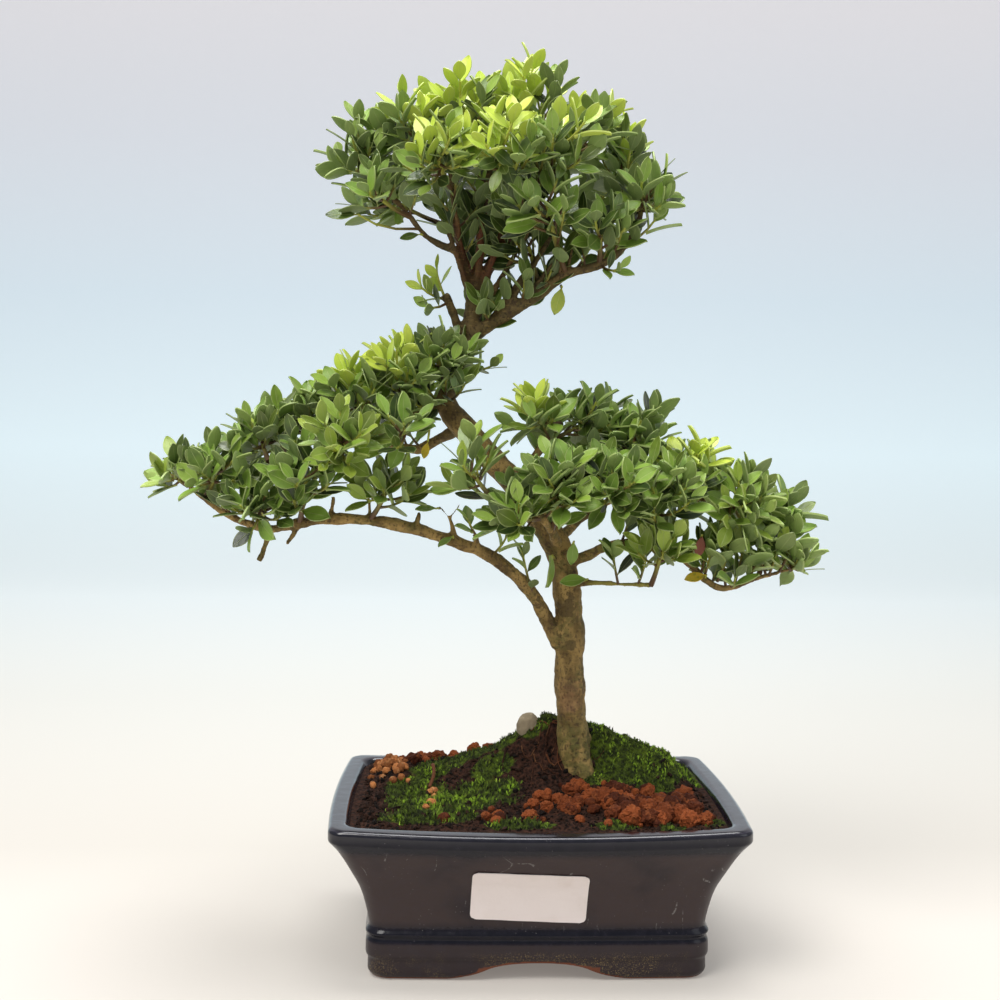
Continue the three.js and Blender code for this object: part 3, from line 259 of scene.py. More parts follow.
# Small shoots that stand apart from the sprays: foot, tip, youth and the size of their leaves
STRAY_SHOOTS: list[tuple[Point, Point, float, float]] = [
    ((-45, -1, 307), (-49, -4, 319), 0.9, 0.72), ((-45, -1, 306), (-56, -6, 311), 0.5, 0.72),
    ((-44, -1, 304), (-53, -8, 302), 0.1, 0.72), ((-35, 2, 274), (-22, -3, 275), 0.2, 0.72),
    ((-22, -8, 185), (-15, -10, 194), 0.3, 0.72), ((26, -20, 321), (34, -30, 318), 0.1, 0.72),
    ((-29, -11, 195), (-33, -14, 203), 0.1, 0.72), ((-84, -6, 368), (-86, -8, 386), 0.1, 1.1),
    ((46, -18, 350), (55, -19, 359), 0.2, 1.1),
    ((-43, -4, 256), (-53, -17, 264), 0.0, 0.95), ((-43, -3, 262), (-48, -14, 281), 0.0, 0.95),
    ((-41, -3, 266), (-41, -17, 276), 0.1, 0.95), ((-37, -2, 273), (-34, -13, 281), 0.0, 0.95),
    ((-44, -5, 258), (-44, -20, 270), 0.0, 0.95), ((-42, -5, 258), (-35, -18, 266), 0.1, 0.95),
    ((-46, -4, 256), (-58, -16, 256), 0.1, 0.95), ((-108, -2, 250), (-95, -6, 265), 1.0, 1.0),
    ((-130, -8, 239), (-121, -9, 253), 0.1, 1.0), ((-130, -8, 239), (-127, -11, 248), 0.8, 0.7),
    ((-88, -12, 260), (-85, -13, 272), 1.0, 0.9), ((-66, -12, 270), (-67, -14, 281), 0.9, 0.85),
    ((-1, -3, 165), (-7, -9, 187), 0.1, 0.75), ((46, -6, 243), (54, -8, 253), 0.0, 1.1),
    ((93, -22, 212), (97, -23, 223), 0.1, 1.15), ((111, -6, 201), (121, -8, 211), 0.1, 1.15),
    ((78, -16, 177), (79, -24, 188), 0.1, 1.1), ((84, -17, 175), (88, -24, 192), 0.3, 1.1),
    ((92, -18, 174), (96, -23, 200), 0.2, 1.15), ((98, -18, 175), (103, -24, 194), 0.1, 1.1),
    ((108, -18, 178), (111, -22, 192), 0.3, 1.1), ((113, -18, 180), (119, -19, 196), 0.1, 1.15),
    ((88, -17, 173), (84, -20, 206), 0.2, 1.15), ((38, -13, 173), (35, -17, 187), 0.1, 0.9),
    ((47, -15, 173), (50, -20, 186), 0.2, 0.95),
]

# Leaves that stand alone: foot of their twig, foot of the leaf, its way, its facing, length and wilt
STRAY_LEAVES: list[tuple[Point, Point, Point, Point, tuple[float, float]]] = [
    ((-57, -13, 337), (-84.5, -24, 341.5), (-1, -0.1, 0.05), (0.1, -0.75, 0.65), (14.5, 0.0)),
    ((-54, -12, 335), (-56.5, -14, 334.5), (-1, -0.1, -0.15), (0.0, -0.8, 0.6), (9.5, 0.0)),
    ((78, -16, 176), (78.5, -19, 178.5), (-1, -0.35, -0.1), (0.0, -0.75, 0.65), (11.0, 0.5)),
    ((69, -14, 185), (74, -31, 198.0), (-0.15, -0.1, -1), (0.3, -0.9, 0.2), (10.5, 1.0)),
    ((-51, -6, 255), (-52, -18, 239.0), (-0.3, -0.1, -1), (-0.3, -0.9, 0.2), (8.0, 0.44)),
    ((-46, -12, 208), (-47.5, -13, 208.0), (-1, -0.2, 0.1), (0.0, -0.55, 0.8), (10.0, 0.0)),
    ((-39, -10, 192), (-40, -13, 195.0), (-0.7, -0.5, -0.3), (-0.2, -0.5, 0.8), (9.0, 0.0)),
    ((9, -13, 312), (9, -19, 311.0), (-0.25, -0.2, -1), (0.1, -0.9, 0.3), (13.0, 0.15)),
    ((19, -4, 174), (24, -10, 175.0), (-1, -0.1, 0.0), (0.0, -0.8, 0.6), (13.0, 0.0)),
    ((13, -4, 186), (17, -12, 193.0), (-0.1, -0.2, -1), (0.1, -0.95, 0.2), (11.0, 0.0)),
    ((9, -4, 184), (7, -9, 186.0), (0.1, -0.1, -1), (0.9, -0.4, 0.1), (15.0, 0.0)),
]


class Draw:
    """A repeatable source of numbers, the same one as the solids' source uses."""

    def __init__(self, seed: int) -> None:
        """Starts the row of numbers that belongs to a seed."""
        self.state = seed & WORD

    def __call__(self) -> float:
        """Gives the next number from 0 to 1.

        Returns:
            The number.
        """
        self.state = (self.state + STRIDE) & WORD
        mixed = self.state
        mixed = ((mixed ^ (mixed >> 15)) * (mixed | 1)) & WORD
        mixed ^= (mixed + (((mixed ^ (mixed >> 7)) * (mixed | 61)) & WORD)) & WORD
        return (mixed ^ (mixed >> 14)) / (WORD + 1)

    def between(self, low: float, high: float) -> float:
        """Gives the next number from low to high."""
        return low + (high - low) * self()

    def spot(self, area: Area) -> tuple[float, float]:
        """Gives the next place in an area, its X first."""
        x = self.between(*area[:2])
        return x, self.between(*area[2:])


def metres(points: np.ndarray) -> np.ndarray:
    """Turns millimetres in the pot's frame into metres in the model's frame."""
    return np.asarray(points, dtype=float) * MM + POT_MIDDLE


def unit(vectors: np.ndarray) -> np.ndarray:
    """Gives vectors their directions at length one."""
    return vectors / np.linalg.norm(vectors, axis=-1, keepdims=True)


def srgb(red: float, green: float, blue: float) -> Colour:
    """Turns a colour as a screen shows it, 0 to 255, into a linear one."""
    shown = (np.array([red, green, blue]) / 255.0).tolist()
    return tuple(((c + 0.055) / 1.055) ** 2.4 if c > 0.04045 else c / 12.92 for c in shown)


def smoothstep(values: np.ndarray, low: float, high: float) -> np.ndarray:
    """Rises softly from 0 at low to 1 at high."""
    share = np.clip((values - low) / (high - low), 0, 1)
    return share * share * (3 - 2 * share)


class Bench:
    """Blender's modelling operators, on one object at a time."""

    @staticmethod
    def clear() -> None:
        """Deselects everything."""
        bpy.ops.object.select_all(action="DESELECT")

    @staticmethod
    def pick(*objects: Object) -> None:
        """Makes objects the only selected ones, and the first of them active.

        Args:
            objects: the objects, the active one first.
        """
        Bench.clear()
        for obj in objects:
            obj.select_set(True)
        bpy.context.view_layer.objects.active = objects[0]

    @staticmethod
    @contextmanager
    def editing(obj: Object) -> Iterator[None]:
        """Opens edit mode on an object for as long as a with block runs.

        Args:
            obj: a mesh object.

        Returns:
            The context, which leaves edit mode at its end.
        """
        Bench.pick(obj)
        bpy.ops.object.mode_set(mode="EDIT")
        yield
        bpy.ops.object.mode_set(mode="OBJECT")

    @staticmethod
    def select(obj: Object, wanted: Callable[[Vector], bool]) -> None:
        """Selects an object's vertices, seen from edit mode, by their place.

        Args:
            obj: the mesh object that is open in edit mode.
            wanted: tells from a vertex's place whether it is selected.
        """
        bpy.ops.mesh.select_mode(type="VERT")
        bpy.ops.mesh.select_all(action="DESELECT")
        bpy.ops.object.mode_set(mode="OBJECT")
        for vertex in obj.data.vertices:
            vertex.select = wanted(vertex.co)
        bpy.ops.object.mode_set(mode="EDIT")

    @staticmethod
    def modify(obj: Object, kind: str, **settings: object) -> None:
        """Adds a modifier to an object and applies it.

        Args:
            obj: the object.
            kind: the modifier's type.
            settings: the modifier's properties.
        """
        Bench.pick(obj)
        modifier = obj.modifiers.new(kind.lower(), kind)
        for name, value in settings.items():
            setattr(modifier, name, value)
        bpy.ops.object.modifier_apply(modifier=modifier.name)

    @staticmethod
    def roughen(obj: Object, size: float, strength: float) -> None:
        """Pushes a surface in and out by clouds of a size, in metres.

        Args:
            obj: the object.
            size: the size of the clouds.
            strength: how far they move the surface.
        """
        clouds = bpy.data.textures.new(f"{obj.name}_clouds", "CLOUDS")
        clouds.noise_scale = size
        clouds.noise_depth = 2
        Bench.modify(obj, "DISPLACE", texture=clouds, strength=strength, mid_level=0.5)

    @staticmethod
    def smooth(obj: Object, angle: float = 40.0) -> None:
        """Shades an object smooth, apart from edges sharper than an angle in degrees."""
        Bench.pick(obj)
        bpy.ops.object.shade_smooth_by_angle(angle=math.radians(angle))

    @staticmethod
    def sheet(name: str, rows: np.ndarray, marks: dict[str, np.ndarray] | None = None) -> Object:
        """Bends a grid through rows of points, and closes what meets.

        Args:
            name: the new object's name.
            rows: rows by columns of points, in metres.
            marks: values that every point carries, rows by columns, by their names.

        Returns:
            The object, with its faces pointing outwards.
        """
        Bench.clear()
        deep, wide = rows.shape[:2]
        bpy.ops.mesh.primitive_grid_add(x_subdivisions=wide - 1, y_subdivisions=deep - 1, size=1)
        obj = bpy.context.object
        obj.name = obj.data.name = name
        obj.data.vertices.foreach_set("co", rows.reshape(-1).astype(np.float32))
        for mark, values in (marks or {}).items():
            layer = obj.data.attributes.new(mark, "FLOAT", "POINT")
            layer.data.foreach_set("value", values.reshape(-1).astype(np.float32))
        obj.data.update()
        with Bench.editing(obj):
            bpy.ops.mesh.select_all(action="SELECT")
            bpy.ops.mesh.remove_doubles(threshold=2e-6)
            bpy.ops.mesh.normals_make_consistent(inside=False)
        return obj


@dataclass
class Shape:
    """A small modelled shape, read out so that it can be copied many times."""

    points: np.ndarray
    corners: np.ndarray
    starts: np.ndarray
    layout: np.ndarray
    under: np.ndarray

    @classmethod
    def take(cls, obj: Object, first_under: int | None = None) -> "Shape":
        """Reads an object's mesh out and removes the object.

        Args:
            obj: the modelled object, its mesh in place.
            first_under: the first of the vertices that lie on its underside, if it has one.

        Returns:
            The shape.
        """
        mesh = obj.data
        points = np.empty(len(mesh.vertices) * 3)
        mesh.vertices.foreach_get("co", points)
        corners = np.empty(len(mesh.loops), dtype=np.int64)
        mesh.loops.foreach_get("vertex_index", corners)
        starts = np.empty(len(mesh.polygons), dtype=np.int64)
        mesh.polygons.foreach_get("loop_start", starts)
        layout = np.zeros(len(mesh.loops) * 2)
        if mesh.uv_layers:
            mesh.uv_layers[0].data.foreach_get("uv", layout)
        points = points.reshape(-1, 3)
        under = np.zeros(len(points))
        if first_under is not None:
            under[first_under:] = 1
        bpy.data.objects.remove(obj, do_unlink=True)
        return cls(points, corners, starts, layout.reshape(-1, 2), under)

    def spread(self, base: np.ndarray, across: np.ndarray, along: np.ndarray, up: np.ndarray) -> np.ndarray:
        """Places a copy at every base, with its X, Y and Z along three scaled directions."""
        x, y, z = (self.points[None, :, k, None] for k in range(3))
        return base[:, None] + x * across[:, None] + y * along[:, None] + z * up[:, None]

    def bend(self, route: np.ndarray, radii: np.ndarray) -> np.ndarray:
        """Bends an upright bar, which runs along Y from 0 to 1, along a route.

        Args:
            route: the points along the middle, one for each ring of the bar.
            radii: the radius at each of them.

        Returns:
            The bar's points, as one copy.
        """
        tangents = unit(np.gradient(route, axis=0))
        sides = [unit(np.cross(tangents[0], TURN_START))]
        for tangent in tangents[1:]:
            sides.append(unit(sides[-1] - tangent * np.dot(sides[-1], tangent)))
        side = np.array(sides)
        across = np.cross(tangents, side)
        ring = np.rint(self.points[:, 1] * (len(route) - 1)).astype(int)
        x, z = self.points[:, 0, None], self.points[:, 2, None]
        return (route[ring] + radii[ring, None] * (x * side[ring] + z * across[ring]))[None]


class Heap:
    """Copies of shapes, gathered into one mesh."""

    MARKS = ("youth", "tone", "under", "wood", "wilt")

    def __init__(self, name: str) -> None:
        """Starts an empty heap under the name of the piece that it becomes.

        Args:
            name: the piece's name.
        """
        self.name = name
        self.points: list[np.ndarray] = []
        self.corners: list[np.ndarray] = []
        self.starts: list[np.ndarray] = []
        self.layout: list[np.ndarray] = []
        self.marks: dict[str, list[np.ndarray]] = {mark: [] for mark in self.MARKS}
        self.count = 0
        self.loops = 0

    def add(self, shape: Shape, copies: np.ndarray, **marks: np.ndarray | float) -> None:
        """Adds placed copies of a shape.

        Args:
            shape: the shape that was copied.
            copies: copies by points by three, in millimetres.
            marks: a value for each copy, by the mark's name.
        """
        many, size = copies.shape[:2]
        step = np.arange(many)[:, None]
        self.points.append(copies.reshape(-1, 3))
        self.corners.append((shape.corners[None] + self.count + step * size).reshape(-1))
        self.starts.append((shape.starts[None] + self.loops + step * len(shape.corners)).reshape(-1))
        self.layout.append(np.tile(shape.layout, (many, 1)))
        for mark in self.MARKS:
            values = np.broadcast_to(np.asarray(marks.get(mark, 0.0), dtype=float), (many,))
            whole = np.repeat(values, size)
            if mark == "under":
                whole = whole + np.tile(shape.under, many)
            self.marks[mark].append(whole)
        self.count += many * size
        self.loops += many * len(shape.corners)

    def build(self, angle: float = 50.0) -> Object:
        """Makes the mesh, shaded smooth apart from edges sharper than an angle in degrees.

        Args:
            angle: the angle up to which an edge is shaded smooth.

        Returns:
            The object.
        """
        mesh = bpy.data.meshes.new(self.name)
        points = metres(np.concatenate(self.points))
        corners, starts = np.concatenate(self.corners), np.concatenate(self.starts)
        mesh.vertices.add(len(points))
        mesh.vertices.foreach_set("co", points.reshape(-1))
        mesh.loops.add(len(corners))
        mesh.loops.foreach_set("vertex_index", corners)
        mesh.polygons.add(len(starts))
        mesh.polygons.foreach_set("loop_start", starts)
        mesh.polygons.foreach_set("use_smooth", np.ones(len(starts), dtype=bool))
        mesh.uv_layers.new(name="blade").data.foreach_set("uv", np.concatenate(self.layout).reshape(-1))
        for mark, values in self.marks.items():
            layer = mesh.attributes.new(mark, "FLOAT", "POINT")
            layer.data.foreach_set("value", np.concatenate(values).astype(np.float32))
        mesh.update(calc_edges=True)
        mesh.validate()
        mesh.set_sharp_from_angle(angle=math.radians(angle))
        obj = bpy.data.objects.new(self.name, mesh)
        bpy.context.scene.collection.objects.link(obj)
        return obj


class Value:
    """A node's output that takes part in arithmetic."""

    def __init__(self, paint: "Paint", socket: bpy.types.NodeSocket) -> None:
        """Wraps a socket of a material's nodes."""
        self.paint = paint
        self.socket = socket

    def maths(self, operation: str, *others: "Value | float") -> "Value":
        """Adds a Math node on this value and others, and gives its result."""
        node = self.paint.node("ShaderNodeMath", {"operation": operation}, dict(enumerate((self, *others))))
        return Value(self.paint, node.outputs[0])

    def __add__(self, other: "Value | float") -> "Value":
        """Adds."""
        return self.maths("ADD", other)

    def __sub__(self, other: "Value | float") -> "Value":
        """Takes away."""
        return self.maths("SUBTRACT", other)

    def __rsub__(self, other: float) -> "Value":
        """Takes this value away from a number."""
        node = self.paint.node("ShaderNodeMath", {"operation": "SUBTRACT"}, {0: other, 1: self})
        return Value(self.paint, node.outputs[0])

    def __mul__(self, other: "Value | float") -> "Value":
        """Multiplies."""
        return self.maths("MULTIPLY", other)

    __radd__ = __add__
    __rmul__ = __mul__

    def __truediv__(self, other: "Value | float") -> "Value":
        """Divides."""
        return self.maths("DIVIDE", other)

    def __abs__(self) -> "Value":
        """Drops the sign."""
        return self.maths("ABSOLUTE")

    def ease(self, low: float, high: float) -> "Value":
        """Rises softly from 0 where the value is low to 1 where it is high, or falls if low is more.

        Args:
            low: the value that gives 0.
            high: the value that gives 1.

        Returns:
            The eased value.
        """
        settings = {"interpolation_type": "SMOOTHSTEP", "clamp": True}
        flip = low > high
        first, last = (high, low) if flip else (low, high)
        inputs = {"Value": self, "From Min": first, "From Max": last, "To Min": 0.0, "To Max": 1.0}
        node = self.paint.node("ShaderNodeMapRange", settings, inputs)
        eased = Value(self.paint, node.outputs[0])
        return 1.0 - eased if flip else eased


class Paint:
    """A material whose nodes are added by calls."""

    def __init__(self, name: str) -> None:
        """Starts an empty material.

        Args:
            name: the material's name.
        """
        self.material = bpy.data.materials.new(name)
        self.material.use_nodes = True
        self.tree = self.material.node_tree
        self.tree.nodes.clear()

    def node(
        self,
        kind: str,
        settings: dict[str, object] | None = None,
        inputs: dict[str | int, object] | None = None,
    ) -> bpy.types.Node:
        """Adds a node.

        Args:
            kind: the node's type.
            settings: its properties, set first; "stops" fills a colour ramp.
            inputs: the values or links of its sockets, by name or number.

        Returns:
            The node.
        """
        made = self.tree.nodes.new(kind)
        for name, value in (settings or {}).items():
            if name == "stops":
                self._fill_ramp(made.color_ramp, value)
            else:
                setattr(made, name, value)
        for key, value in (inputs or {}).items():
            socket = made.inputs[key]
            if isinstance(value, Value):
                self.tree.links.new(value.socket, socket)
            elif socket.type == "RGBA" and len(value) == 3:
                socket.default_value = (*value, 1.0)
            else:
                socket.default_value = value
        return made

    @staticmethod
    def _fill_ramp(ramp: bpy.types.ColorRamp, stops: Sequence[tuple[float, Colour]]) -> None:
        """Gives a ramp its stops, from first to last.

        Args:
            ramp: the ramp of a node.
            stops: the place and the colour of each stop.
        """
        while len(ramp.elements) < len(stops):
            ramp.elements.new(1.0)
        for element, (place, colour) in zip(ramp.elements, stops):
            element.position = place
            element.color = (*colour, 1.0)

    def here(self, scale: Point = (1.0, 1.0, 1.0)) -> Value:
        """Gives the place on the object, in metres, stretched by a scale.

        Args:
            scale: how much X, Y and Z are stretched.

        Returns:
            The place.
        """
        place = Value(self, self.node("ShaderNodeTexCoord").outputs["Object"])
        if scale == (1.0, 1.0, 1.0):
            return place
        mapping = self.node("ShaderNodeMapping", None, {"Vector": place, "Scale": scale})
        return Value(self, mapping.outputs[0])

    def parts(self, vector: Value) -> tuple[Value, Value, Value]:
        """Splits a vector into its X, Y and Z."""
        outputs = self.node("ShaderNodeSeparateXYZ", None, {0: vector}).outputs
        return tuple(Value(self, socket) for socket in outputs)

    def mark(self, name: str) -> Value:
        """Reads a value that the mesh carries."""
        settings = {"attribute_name": name, "attribute_type": "GEOMETRY"}
        return Value(self, self.node("ShaderNodeAttribute", settings).outputs["Fac"])

    def clouds(
        self, size: float, detail: float = 3.0, stretch: Point = (1.0, 1.0, 1.0), rough: float = 0.5,
    ) -> Value:
        """Gives soft noise, 0 to 1, whose clouds have a size in millimetres, divided by a stretch.

        Args:
            size: the size of the largest clouds.
            detail: how many finer layers they have.
            stretch: how much X, Y and Z are stretched before.
            rough: how strong each finer layer is, next to the one above.

        Returns:
            The noise.
        """
        inputs = {
            "Vector": self.here(stretch), "Scale": 1 / MM / size, "Detail": detail, "Roughness": rough,
        }
        return Value(self, self.node("ShaderNodeTexNoise", None, inputs).outputs[0])

    def cells(self, size: float) -> Value:
        """Gives the distance to the nearest of scattered points, a size in millimetres apart."""
        inputs = {"Vector": self.here(), "Scale": 1 / MM / size}
        return Value(self, self.node("ShaderNodeTexVoronoi", None, inputs).outputs["Distance"])

    def near(self, place: Point, inner: float, outer: float) -> Value:
        """Gives 1 near a place and 0 far from it, with a torn edge between, all in millimetres.

        Args:
            place: the middle, in the pot's frame.
            inner: the distance up to which it gives 1.
            outer: the distance from which it gives 0.

        Returns:
            The share.
        """
        centre = metres(np.array(place)).tolist()
        far = self.node("ShaderNodeVectorMath", {"operation": "DISTANCE"}, {0: self.here(), 1: centre})
        torn = (self.clouds(outer * 0.4, 2.0) - 0.5) * (outer * 0.9 * MM)
        return (Value(self, far.outputs["Value"]) + torn).ease(outer * MM, inner * MM)

    def mix(self, share: Value | float, low: Value | Colour, high: Value | Colour) -> Value:
        """Goes from one colour to another as a share goes from 0 to 1."""
        inputs = {0: share, 6: low, 7: high}
        return Value(self, self.node("ShaderNodeMix", {"data_type": "RGBA"}, inputs).outputs[2])

    def over(self, colour: Value | Colour, *coats: tuple[Value | float, Value | Colour]) -> Value:
        """Lays coats over a colour, each with its share, 0 to 1, and its own colour.

        Args:
            colour: the colour below.
            coats: each coat's share and colour, the lowest coat first.

        Returns:
            The colour on top.
        """
        for share, coat in coats:
            colour = self.mix(share, colour, coat)
        return colour

    def bump(self, height: Value, depth: float) -> Value:
        """Gives the surface a relief, its height from 0 to 1 over a depth in millimetres."""
        inputs = {"Height": height, "Distance": depth * MM, "Strength": 1.0}
        return Value(self, self.node("ShaderNodeBump", None, inputs).outputs[0])

    def surface(self, colour: Value | Colour, roughness: Value | float, **more: object) -> Material:
        """Ends the material in one shader.

        Args:
            colour: the base colour.
            roughness: the roughness.
            more: other sockets, their names with underscores for blanks.

        Returns:
            The material.
        """
        inputs = {"Base Color": colour, "Roughness": roughness}
        inputs.update({name.replace("_", " "): value for name, value in more.items()})
        shader = self.node("ShaderNodeBsdfPrincipled", None, inputs)
        output = self.node("ShaderNodeOutputMaterial")
        self.tree.links.new(shader.outputs[0], output.inputs["Surface"])
        return self.material


@dataclass(frozen=True)
class LeafFinish:
    """Leathery evergreen leaves with a pale rib, and the shoots that carry them; young leaves glow faintly
    with painted light.
    """

    dark: Colour = srgb(30, 48, 12)
    green: Colour = srgb(126, 158, 60)
    young: Colour = srgb(198, 214, 82)
    young_deep: Colour = srgb(146, 172, 50)
    rib: Colour = srgb(170, 182, 112)
    underside: Colour = srgb(136, 154, 98)
    yellow: Colour = srgb(214, 186, 56)
    dead: Colour = srgb(112, 54, 30)
    stalk: Colour = srgb(176, 180, 80)
    green_shoot: Colour = srgb(164, 168, 66)
    brown_shoot: Colour = srgb(88, 62, 34)
    # Painted light: how strongly young leaves glow in their own colour, standing in for light shining through
    # them
    glow: float = 0.07

    def build(self) -> Material:
        """Makes the material.

        Returns:
            The material.
        """
        paint = Paint("holly_leaf")
        blade = Value(paint, paint.node("ShaderNodeUVMap", {"uv_map": "blade"}).outputs[0])
        u, v, _ = paint.parts(blade)
        off = abs(u - 0.5) * 2.0
        tone, youth, under = paint.mark("tone"), paint.mark("youth"), paint.mark("under")
        wood, wilt = paint.mark("wood"), paint.mark("wilt")
        patches = paint.clouds(6.0, 2.0)
        # The tone mark carries each leaf's random shade times its region's painted light, so inner leaves are
        # painted darker
        deep = paint.mix((tone * 0.8 + patches * 0.5).ease(0.25, 1.0), self.dark, self.green)
        fresh = paint.mix((tone * 0.6 + v * 0.5).ease(0.1, 0.9), self.young_deep, self.young)
        fresh_share = youth.ease(0.05, 0.75)
        spots = paint.clouds(1.6, 2.0).ease(0.5, 0.62)
        shoot = paint.mix(
            (under * 0.7 + youth * 0.5 + tone * 0.2).ease(0.25, 0.85), self.brown_shoot, self.green_shoot)
        colour = paint.over(
            deep,
            (fresh_share, fresh),
            (off.ease(0.08, 0.02) * v.ease(1.0, 0.7) * 0.4, self.rib),
            (off.ease(0.84, 1.0) * 0.55, self.rib),
            (v.ease(0.22, 0.1) * 0.8, self.stalk),
            (under * (0.6 - fresh_share * 0.5), self.underside),
            (wilt.ease(0.0, 0.5) * (1.0 - spots * 0.4), self.yellow),
            (wilt.ease(0.5, 1.0), self.dead),
            (wood, shoot))
        veins = abs((v * 9.0 - off * 3.0).maths("SINE")) * off.ease(1.0, 0.8)
        relief = veins * 0.35 + off.ease(0.0, 0.16) * 0.6 + paint.clouds(0.7, 1.0) * 0.3
        rough = 0.32 + tone * 0.12 + under * 0.25 + wood * 0.2 + wilt * 0.2
        # Painted light: the glow of young blades, with none on the shoots
        lit = paint.mix(fresh_share * (1.0 - wood), (0.0, 0.0, 0.0), colour)
        return paint.surface(
            colour, rough, Normal=paint.bump(relief, 0.12), Coat_Weight=0.25, Coat_Roughness=0.38,
            Specular_IOR_Level=0.45, Emission_Color=lit, Emission_Strength=self.glow)


@dataclass(frozen=True)
class BarkFinish:
    """Smooth olive-grey bark with algae, dark patches and an old scar."""

    pale: Colour = srgb(172, 142, 82)
    grey: Colour = srgb(103, 81, 38)
    blotch: Colour = srgb(86, 70, 34)
    twig: Colour = srgb(150, 146, 62)
    blush: Colour = srgb(150, 98, 78)
    crack: Colour = srgb(56, 40, 22)
    algae: Colour = srgb(82, 84, 34)
    olive: Colour = srgb(68, 56, 28)
    red: Colour = srgb(112, 54, 32)
    brown: Colour = srgb(58, 38, 22)
    patch_at: Point = (14.0, -1.0, 160.0)
    scar_at: Point = (17.0, -2.0, 142.0)
    blush_at: Point = (17.0, -2.0, 116.0)
    twig_at: Point = (40.0, -12.0, 173.0)
    red_at: Point = (-30.0, 6.0, 334.0)

    def build(self) -> Material:
        """Makes the material.

        Returns:
            The material.
        """
        paint = Paint("holly_bark")
        _, _, z = paint.parts(paint.here())
        body = paint.clouds(8.0, 4.0, (1.0, 1.0, 0.5))
        green = paint.clouds(18.0, 3.0).ease(0.42, 0.6) * paint.clouds(2.4, 2.0).ease(0.34, 0.6)
        low_green = z.ease(0.125, 0.085) * paint.clouds(4.0, 2.0).ease(0.3, 0.6)
        fine = paint.clouds(1.0, 3.0, (1.0, 1.0, 0.6), 0.6)
        bands = paint.clouds(2.2, 3.0, (0.5, 0.5, 2.2), 0.6)
        cracks = fine.ease(0.44, 0.35)
        stains = paint.clouds(6.0, 3.0).ease(0.57, 0.66) * paint.clouds(1.4, 2.0).ease(0.35, 0.6)
        blotches = paint.clouds(7.0, 3.0).ease(0.625, 0.645) * z.ease(0.25, 0.2)
        colour = paint.over(
            self.grey,
            (body.ease(0.34, 0.68), self.pale),
            (green * 0.6, self.algae),
            (low_green * 0.7, self.algae),
            (z.ease(0.22, 0.3) * 0.75, self.olive),
            (paint.near(self.red_at, 10.0, 24.0) * 0.8, self.red),
            (cracks * 0.5, self.crack),
            (bands.ease(0.54, 0.68) * 0.25, self.pale),
            (bands.ease(0.42, 0.3) * 0.2, self.grey),
            (paint.cells(3.2).ease(0.12, 0.06) * 0.5, self.pale),
            (stains * 0.65, self.brown),
            (blotches * 0.75, self.blotch),
            (paint.near(self.patch_at, 4.6, 5.6) * 0.85, self.blotch),
            (paint.near(self.scar_at, 2.4, 3.2) * 0.8, self.blotch),
            (paint.near(self.blush_at, 2.0, 13.0) * 0.32, self.blush),
            (paint.near(self.twig_at, 12.0, 20.0) * 0.7, self.twig))
        relief = body * 0.4 + fine * 0.35 + bands * 0.15 - cracks * 0.35
        return paint.surface(colour, 0.7 + fine * 0.14, Normal=paint.bump(relief, 1.0))


@dataclass(frozen=True)
class GlazeFinish:
    """Dark navy glaze, worn to satin on the walls, with bare clay under the feet."""

    navy: Colour = srgb(6, 6, 20)
    wall: Colour = srgb(60, 47, 45)
    edge: Colour = srgb(58, 54, 66)
    scratch: Colour = srgb(150, 146, 142)
    gold: Colour = srgb(150, 128, 82)
    clay: Colour = srgb(108, 64, 46)

    def build(self) -> Material:
        """Makes the material.

        Returns:
            The material.
        """
        paint = Paint("navy_glaze")
        _, _, z = paint.parts(paint.here())
        bare, edge = paint.mark("bare"), paint.mark("edge")
        drift = paint.clouds(30.0, 3.0)
        side = z.ease(0.0215, 0.027) * z.ease(0.063, 0.0585)
        wall = side * drift.ease(0.2, 0.55) + z.ease(0.0175, 0.0155) * 0.6
        mottle = paint.clouds(3.0, 3.0).ease(0.3, 0.75)
        hair = abs(paint.clouds(16.0, 1.0, (1.0, 1.0, 0.2)) - 0.5).ease(0.0065, 0.002)
        worn = paint.clouds(7.0, 1.0, (1.0, 1.0, 0.7)).ease(0.56, 0.6)
        lines = hair * worn * paint.clouds(0.9, 1.0).ease(0.38, 0.52) * side
        specks = paint.cells(2.2).ease(0.11, 0.05) * paint.clouds(10.0, 2.0).ease(0.45, 0.6)
        grains = paint.clouds(0.4, 1.0).ease(0.58, 0.68)
        dust = z.ease(0.014, 0.0105) * paint.clouds(22.0, 2.0).ease(0.4, 0.58) * grains
        chips = (bare + (paint.clouds(2.0, 3.0) - 0.5) * 0.5).ease(0.35, 0.55)
        colour = paint.over(
            self.navy,
            (wall * 0.9, self.wall),
            (mottle * 0.12, self.edge),
            (lines * 0.45, self.scratch),
            (specks * 0.4, self.scratch),
            (dust * 0.7, self.gold),
            (edge * 0.5, self.edge),
            (chips, self.clay))
        rough = 0.2 + wall * 0.2 + mottle * 0.05 + lines * 0.2 + dust * 0.25 + chips * 0.5
        relief = paint.clouds(7.0, 2.0) * 0.7 + paint.clouds(1.2, 2.0) * 0.08 + grains * chips * 0.3
        coat = (1.0 - chips) * (z.ease(0.0655, 0.069) * 0.5 + 0.06)
        return paint.surface(
            colour, rough, Normal=paint.bump(relief, 0.3), Coat_Weight=coat, Coat_Roughness=0.12,
            Specular_IOR_Level=0.26)


